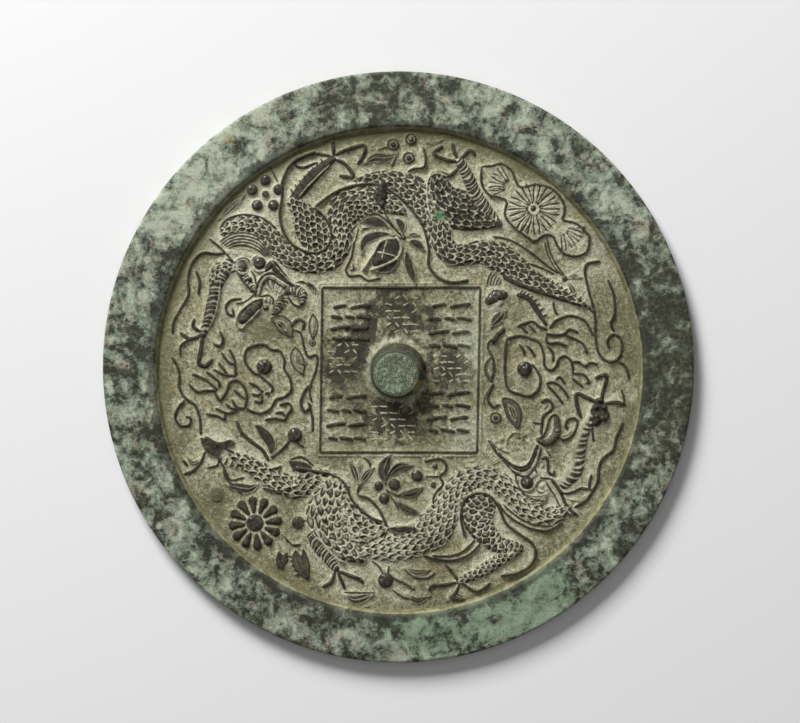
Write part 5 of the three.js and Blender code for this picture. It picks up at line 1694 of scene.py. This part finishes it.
@dataclass(frozen=True)
class FieldFinish:
    """The sunk field: cream and olive earth over dark bronze that shows on what is rubbed, and painted
    shadow in olive at the top and left foot of the rim's wall.
    """

    cream: Tone = (216, 212, 184)
    khaki: Tone = (160, 157, 122)
    olive: Tone = (106, 105, 72)
    pit: Tone = (58, 56, 38)
    bronze: Tone = (44, 41, 30)
    bronze_worn: Tone = (82, 77, 56)
    ochre: Tone = (160, 138, 92)
    frost: Tone = (184, 196, 174)
    leaf_green: Tone = (104, 136, 106)
    moss: Tone = (112, 120, 80)

    def material(self, sizes: DiscSizes) -> bpy.types.Material:
        """Put the finish together.

        Args:
            sizes: Sizes of the casting, for where the rim's wall stands.

        Returns:
            The material.
        """
        n = NodeBench("earthy_bronze_relief")
        bare, near, nearness, _ = n.attribute("relief_map")
        pale, green, dark, _ = n.attribute("patina_map")
        broad, patchy = n.noise(0.045, 3, 0.5, 0.5, 1.3), n.noise(0.2, 5, 0.6, 0.4, 2.1)
        mottled, speckled = n.noise(0.75, 6, 0.62, 0.3, 3.7), n.noise(2.4, 4, 0.65, 0.0, 4.9)
        grain = n.noise(5.5, 2, 0.6, 0.0, 5.3)
        stirred = n.add(n.times(mottled, 0.5), n.times(speckled, 0.45), n.times(patchy, 0.45), -0.7)
        shadowed = n.ramp(n.add(dark, n.times(stirred, 1.1), n.about(speckled, 1.6)), 0.3, 0.56)
        lined = n.ramp(bare, -0.02, -0.2)
        scrubbed = n.add(bare, n.times(stirred, 1.15), n.times(shadowed, 0.75), n.times(pale, -0.3),
                         n.times(lined, -0.9))
        metal = n.ramp(scrubbed, 0.26, 0.86)
        lift = n.add(n.times(nearness, 0.95), n.about(mottled, 2.0),
                     n.about(speckled, 1.3),
                     n.about(broad, 1.4), n.times(pale, 0.5),
                     n.times(lined, 0.5), 0.1)
        soil = n.mix(n.ramp(lift, -0.1, 0.4), self.olive, self.khaki)
        soil = n.mix(n.ramp(lift, 0.2, 0.8), soil, self.cream)
        soil = n.mix(n.times(n.ramp(patchy, 0.52, 0.7), 0.4), soil, self.ochre)
        soil = n.mix(n.times(n.ramp(speckled, 0.49, 0.36), 0.8), soil, self.pit)
        soil = n.mix(n.times(n.ramp(grain, 0.46, 0.3), 0.7), soil, self.pit)
        soil = n.mix(n.times(n.ramp(grain, 0.54, 0.68), 0.6), soil, self.cream)
        soil = n.mix(n.times(pale, 0.6), soil, self.frost)
        off_square = n.math("MAXIMUM", n.math("ABSOLUTE", n.x), n.math("ABSOLUTE", n.add(n.y, 0.5)))
        square = n.ramp(off_square, 29.0, 28.2)
        square = n.times(square, n.math("SUBTRACT", 1.0, lined))
        specks = n.ramp(n.add(n.times(mottled, 0.5), n.times(grain, 0.5)), 0.5, 0.4)
        soil = n.mix(n.times(square, specks, 0.7), soil, self.pit)
        # painted shadow: the ground at the foot of the rim's wall turns olive towards the top and left,
        # where the rim casts its shade
        past_wall = n.math("SUBTRACT", n.far_from(*sizes.field_centre), sizes.ground_radius)
        rim_shadow_side = n.ramp(n.add(n.times(n.x, -0.5), n.y), -20.0, 60.0)
        soil = n.mix(n.times(n.ramp(past_wall, -6.5, -1.5), rim_shadow_side, 0.75), soil, self.olive)
        crust = n.mix(n.ramp(n.add(mottled, n.times(near, 0.25)), 0.55, 0.8), self.bronze, self.bronze_worn)
        tone = n.mix(metal, soil, crust)
        growth = n.ramp(n.add(green, n.times(stirred, 0.8)), 0.2, 0.6)
        tone = n.mix(n.times(growth, 0.6), tone, self.moss)
        tone = n.mix(n.ramp(green, 0.6, 0.8), tone, self.leaf_green)
        shine = n.times(metal, n.ramp(near, 0.5, 0.66))
        rough = n.math("SUBTRACT", n.add(0.8, n.about(speckled, 0.4)),
                       n.times(shine, 0.42), clamp=True)
        lumps = n.add(mottled, n.times(speckled, 0.6), n.times(grain, 0.4))
        polish = n.times(shine, n.ramp(bare, 0.965, 0.99), 0.9)
        return n.finish(tone, rough, n.times(shine, 0.4), lumps, 0.62, polish)


@dataclass(frozen=True)
class RimFinish:
    """The rim: dark metal under clouds of sage crust, earth on its wall, dull silver underneath."""

    metal_dark: Tone = (48, 49, 36)
    metal_green: Tone = (86, 92, 70)
    sage: Tone = (128, 138, 116)
    frost: Tone = (182, 190, 168)
    blue_grey: Tone = (126, 138, 120)
    rose: Tone = (170, 158, 138)
    leaf_green: Tone = (112, 140, 108)
    wall: Tone = (168, 162, 124)
    wall_olive: Tone = (126, 124, 82)
    rust: Tone = (164, 150, 98)
    silver: Tone = (120, 122, 108)
    silver_dull: Tone = (88, 90, 78)

    def material(self, sizes: DiscSizes) -> bpy.types.Material:
        """Put the finish together.

        Args:
            sizes: Sizes of the casting, for where the rim begins.

        Returns:
            The material.
        """
        n = NodeBench("crusted_bronze_rim")
        pale, green, dark, crust = n.attribute("patina_map")
        patchy = n.noise(0.16, 5, 0.62, 0.5, 8.3)
        mottled, speckled = n.noise(0.5, 6, 0.66, 0.4, 9.7), n.noise(1.9, 5, 0.68, 0.2, 10.9)
        grain = n.noise(5.0, 2, 0.6, 0.0, 11.3)
        base = n.mix(n.ramp(n.add(n.times(mottled, 0.6), n.times(patchy, 0.4)), 0.42, 0.58),
                     self.metal_dark, self.metal_green)
        stirred = n.add(n.times(patchy, 0.8), n.times(mottled, 0.34), n.times(speckled, 0.2), -0.67)
        torn = n.ramp(n.noise(0.1, 6, 0.7, 0.8, 17.9), 0.47, 0.36)
        cover = n.add(n.times(stirred, 2.5), n.times(torn, -0.16), n.about(crust, 0.6),
                      n.times(dark, -0.3), n.times(pale, 0.25), 0.46)
        thin = n.ramp(cover, 0.36, 0.64)
        thick = n.ramp(cover, 0.6, 0.95)
        tint = n.mix(n.ramp(n.noise(0.13, 5, 0.65, 0.5, 12.7), 0.42, 0.58), self.blue_grey, self.sage)
        tint = n.mix(n.times(n.ramp(n.noise(0.2, 5, 0.65, 0.6, 13.1), 0.5, 0.62), 0.7), tint, self.rose)
        tone = n.mix(n.times(thin, 0.85), base, tint)
        tone = n.mix(n.times(thick, 0.85), tone, self.frost)
        leafy = n.ramp(n.add(green, n.about(mottled, 0.8)), 0.2, 0.5)
        tone = n.mix(n.times(leafy, n.add(n.times(thin, 0.5), 0.1)), tone, self.leaf_green)
        tone = n.mix(n.times(n.ramp(speckled, 0.44, 0.32), 0.75), tone, self.metal_dark)
        tone = n.mix(n.times(n.ramp(speckled, 0.62, 0.72), 0.6), tone, self.frost)
        radius = n.far_from(*sizes.field_centre)
        ragged = n.add(radius, n.about(mottled, 5.0),
                       n.about(patchy, 9.0))
        band = n.times(n.ramp(ragged, sizes.lip_radius + 4.0, sizes.lip_radius + 2.2), 0.62)
        tone = n.mix(band, tone, self.metal_dark)
        soil = n.mix(n.ramp(n.add(mottled, n.times(patchy, 0.4)), 0.55, 0.85), self.wall_olive, self.wall)
        tone = n.mix(n.ramp(radius, sizes.lip_radius - 0.1, sizes.lip_radius - 0.6), tone, soil)
        tone = n.mix(self.stains(n, n.noise(0.35, 5, 0.6, 0.6, 14.3)), tone, self.rust)
        edge = n.ramp(n.z, sizes.rim_top - 1.4, sizes.rim_top - 2.4)
        tone = n.mix(n.times(edge, 0.5), tone, self.metal_green)
        face = n.mix(n.ramp(mottled, 0.4, 0.62), self.silver_dull, self.silver)
        face = n.mix(n.times(n.ramp(patchy, 0.52, 0.62), n.ramp(speckled, 0.35, 0.55)), face, self.sage)
        under = n.ramp(n.z, 0.5, 0.1)
        tone = n.mix(under, tone, face)
        rough = n.add(0.5, n.times(thin, 0.28), n.about(speckled, 0.5))
        rough = n.math("SUBTRACT", rough, n.times(under, 0.15), clamp=True)
        metal = n.add(n.times(n.math("SUBTRACT", 1.0, thin), 0.3), n.times(under, 0.3))
        lumps = n.add(n.times(mottled, 0.8), n.times(thin, 0.35), n.times(speckled, 0.45),
                      n.times(grain, 0.2))
        return n.finish(tone, rough, metal, lumps, 0.4)

    def stains(self, n: NodeBench, ragged: object) -> Socket:
        """Share of rust at the few brown stains."""
        total: object = 0.0
        for stain in (Patch(-63.6, 84.5, 2.6, 0.5), Patch(-77, 61.5, 1.1, 0.5),
                      Patch(61.5, -69, 1.0, 0.25)):
            far = n.add(n.far_from(stain.x, stain.y), n.about(ragged, stain.reach * 5))
            total = n.math("MAXIMUM", total, n.ramp(far, stain.reach, stain.reach * 0.2, 0.0, stain.amount))
        return total


@dataclass(frozen=True)
class KnobFinish:
    """The knob: green bloom on its worn crown, dark flank with earth at the foot."""

    bloom: Tone = (88, 102, 76)
    bloom_pale: Tone = (158, 168, 142)
    bronze: Tone = (56, 58, 42)
    bronze_green: Tone = (92, 94, 72)
    earth: Tone = (190, 184, 150)
    gold: Tone = (176, 158, 104)

    def material(self, sizes: DiscSizes, knob: Knob) -> bpy.types.Material:
        """Put the finish together.

        Args:
            sizes: Sizes of the casting, for the heights of foot and crown.
            knob: The knob, for where its crown lies.

        Returns:
            The material.
        """
        n = NodeBench("green_bloomed_knob")
        mottled, speckled = n.noise(0.7, 5, 0.62, 0.4, 15.1), n.noise(2.2, 4, 0.66, 0.2, 16.3)
        bloom = n.mix(n.ramp(n.add(n.times(mottled, 0.6), n.times(speckled, 0.4)), 0.45, 0.64),
                      self.bloom, self.bloom_pale)
        torn = n.ramp(n.noise(0.32, 6, 0.7, 1.2, 19.3), 0.5, 0.4)
        bloom = n.mix(n.times(torn, 0.6), bloom, self.bronze_green)
        bloom = n.mix(n.times(n.ramp(speckled, 0.52, 0.38), 0.9), bloom, self.bronze)
        bloom = n.mix(n.times(n.ramp(speckled, 0.56, 0.68), 0.7), bloom, self.bloom_pale)
        flank = n.mix(n.ramp(mottled, 0.42, 0.66), self.bronze, self.bronze_green)
        crown = n.ramp(n.add(n.far_from(*knob.crown_place), n.about(mottled, 5.0)),
                       knob.crown_radius + 0.9, knob.crown_radius - 0.5)
        tone = n.mix(crown, flank, bloom)
        foot = n.ramp(n.add(n.z, n.about(mottled, 3)), sizes.ground + 2.6,
                      sizes.ground + 0.3)
        tone = n.mix(n.times(foot, 0.85), tone, self.earth)
        smear = n.times(n.ramp(n.x, 4.6, 6.4), n.ramp(n.y, -4.2, -6.2), n.ramp(mottled, 0.36, 0.5))
        tone = n.mix(n.times(smear, 0.8), tone, self.gold)
        rough = n.add(0.62, n.about(speckled, 0.6), n.times(crown, -0.12))
        lumps = n.add(mottled, n.times(speckled, 0.5))
        return n.finish(tone, rough, 0.15, lumps, 0.4)


# ---- The studio ----

@dataclass
class Studio:
    """Pale floor, soft lamps and a camera that looks straight down."""

    floor_size: float = 3.0
    floor_tone: float = 0.82
    main_power: float = 46.0
    main_azimuth: float = 118.0
    main_height: float = 33.0
    main_far: float = 1.8
    main_size: float = 0.7
    fill_power: float = 2.8
    fill_size: float = 1.6
    fill_far: float = 1.5
    sky: float = 0.13
    lens: float = 120.0
    camera_place: tuple = (0.00056, 0.00204, 0.9972)

    def build(self) -> None:
        """Set up everything."""
        self.floor()
        angle, rise = math.radians(self.main_azimuth), math.radians(self.main_height)
        flat = self.main_far * math.cos(rise)
        self.lamp("window_light", (flat * math.cos(angle), flat * math.sin(angle),
                                   self.main_far * math.sin(rise)), self.main_size, self.main_power)
        self.lamp("overhead_light", (0.0, 0.0, self.fill_far), self.fill_size, self.fill_power)
        world = bpy.data.worlds.new("studio")
        world.use_nodes = True
        back = world.node_tree.nodes["Background"]
        back.inputs[0].default_value = (1.0, 1.0, 1.0, 1.0)
        back.inputs[1].default_value = self.sky
        bpy.context.scene.world = world
        bpy.context.scene.view_settings.view_transform = "Standard"
        self.camera()

    def floor(self) -> None:
        """Lay the floor at the polished face."""
        half = self.floor_size / 2
        mesh = bpy.data.meshes.new("studio_floor")
        mesh.from_pydata([(-half, -half, 0), (half, -half, 0), (half, half, 0), (-half, half, 0)], [],
                         [(0, 1, 2, 3)])
        floor = bpy.data.objects.new("studio_floor", mesh)
        bpy.context.scene.collection.objects.link(floor)
        n = NodeBench("studio_floor")
        shader = n.node("ShaderNodeBsdfPrincipled")
        n.put(shader.inputs["Base Color"], (self.floor_tone, self.floor_tone, self.floor_tone, 1.0))
        n.put(shader.inputs["Roughness"], 0.9)
        n.put(shader.inputs["Specular IOR Level"], 0.1)
        out = n.node("ShaderNodeOutputMaterial")
        n.put(out.inputs[0], shader.outputs[0])
        mesh.materials.append(n.material)

    def lamp(self, name: str, place: tuple, size: float, power: float) -> None:
        """Add a square soft lamp that faces the middle of the mirror.

        Args:
            name: What it is called.
            place: Where it stands, in metres.
            size: Length of its side.
            power: Watts.
        """
        data = bpy.data.lights.new(name, "AREA")
        data.size, data.energy = size, power
        lamp = bpy.data.objects.new(name, data)
        lamp.location = place
        lamp.rotation_euler = (-Vector(place)).to_track_quat("-Z", "Y").to_euler()
        bpy.context.scene.collection.objects.link(lamp)

    def camera(self) -> None:
        """Hang the camera over the mirror."""
        data = bpy.data.cameras.new("camera")
        data.lens = self.lens
        data.clip_start = 0.01
        camera = bpy.data.objects.new("camera", data)
        camera.location = self.camera_place
        bpy.context.scene.collection.objects.link(camera)
        bpy.context.scene.camera = camera


# ---- Putting it together ----

def draw_relief() -> ReliefField:
    """Draw the whole design on one raster."""
    relief = ReliefField()
    for motif in (UpperDragon, LowerDragon, LotusLeaf, Sprays, Clouds, Panel):
        motif(relief).draw()
        LOG.info("%s drawn", motif.__name__)
    relief.settle()
    return relief


def hand_over(piece: Piece, finish: bpy.types.Material, patina: PatinaMap) -> None:
    """Store the patina on a piece, dress it, and say what it stands for."""
    x, y, _ = corner_places(piece.data)
    write_attribute(piece.data, "patina_map", patina.values(x, y))
    piece.data.materials.clear()
    piece.data.materials.append(finish)
    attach(piece, "root")
    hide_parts("mirror")
    LOG.info("%s: %d triangles", piece.name, len(piece.data.polygons))


def main() -> None:
    """Build the mirror and the studio, and report each piece."""
    logging.basicConfig(level=logging.INFO, format="%(name)s: %(message)s")
    sizes, knob, patina = DiscSizes(), Knob(), PatinaMap()
    made = Field(sizes, draw_relief(), knob)
    rim = Rim(sizes)
    maps, earthy = ReliefMaps(made), FieldFinish().material(sizes)
    for quarter in Quarter:
        piece = made.build(quarter)
        maps.store(piece)
        hand_over(piece, earthy, patina)
    hand_over(rim.build(), RimFinish().material(sizes), patina)
    hand_over(knob.build(sizes), KnobFinish().material(sizes, knob), patina)
    Studio().build()


if __name__ == "__main__":
    main()
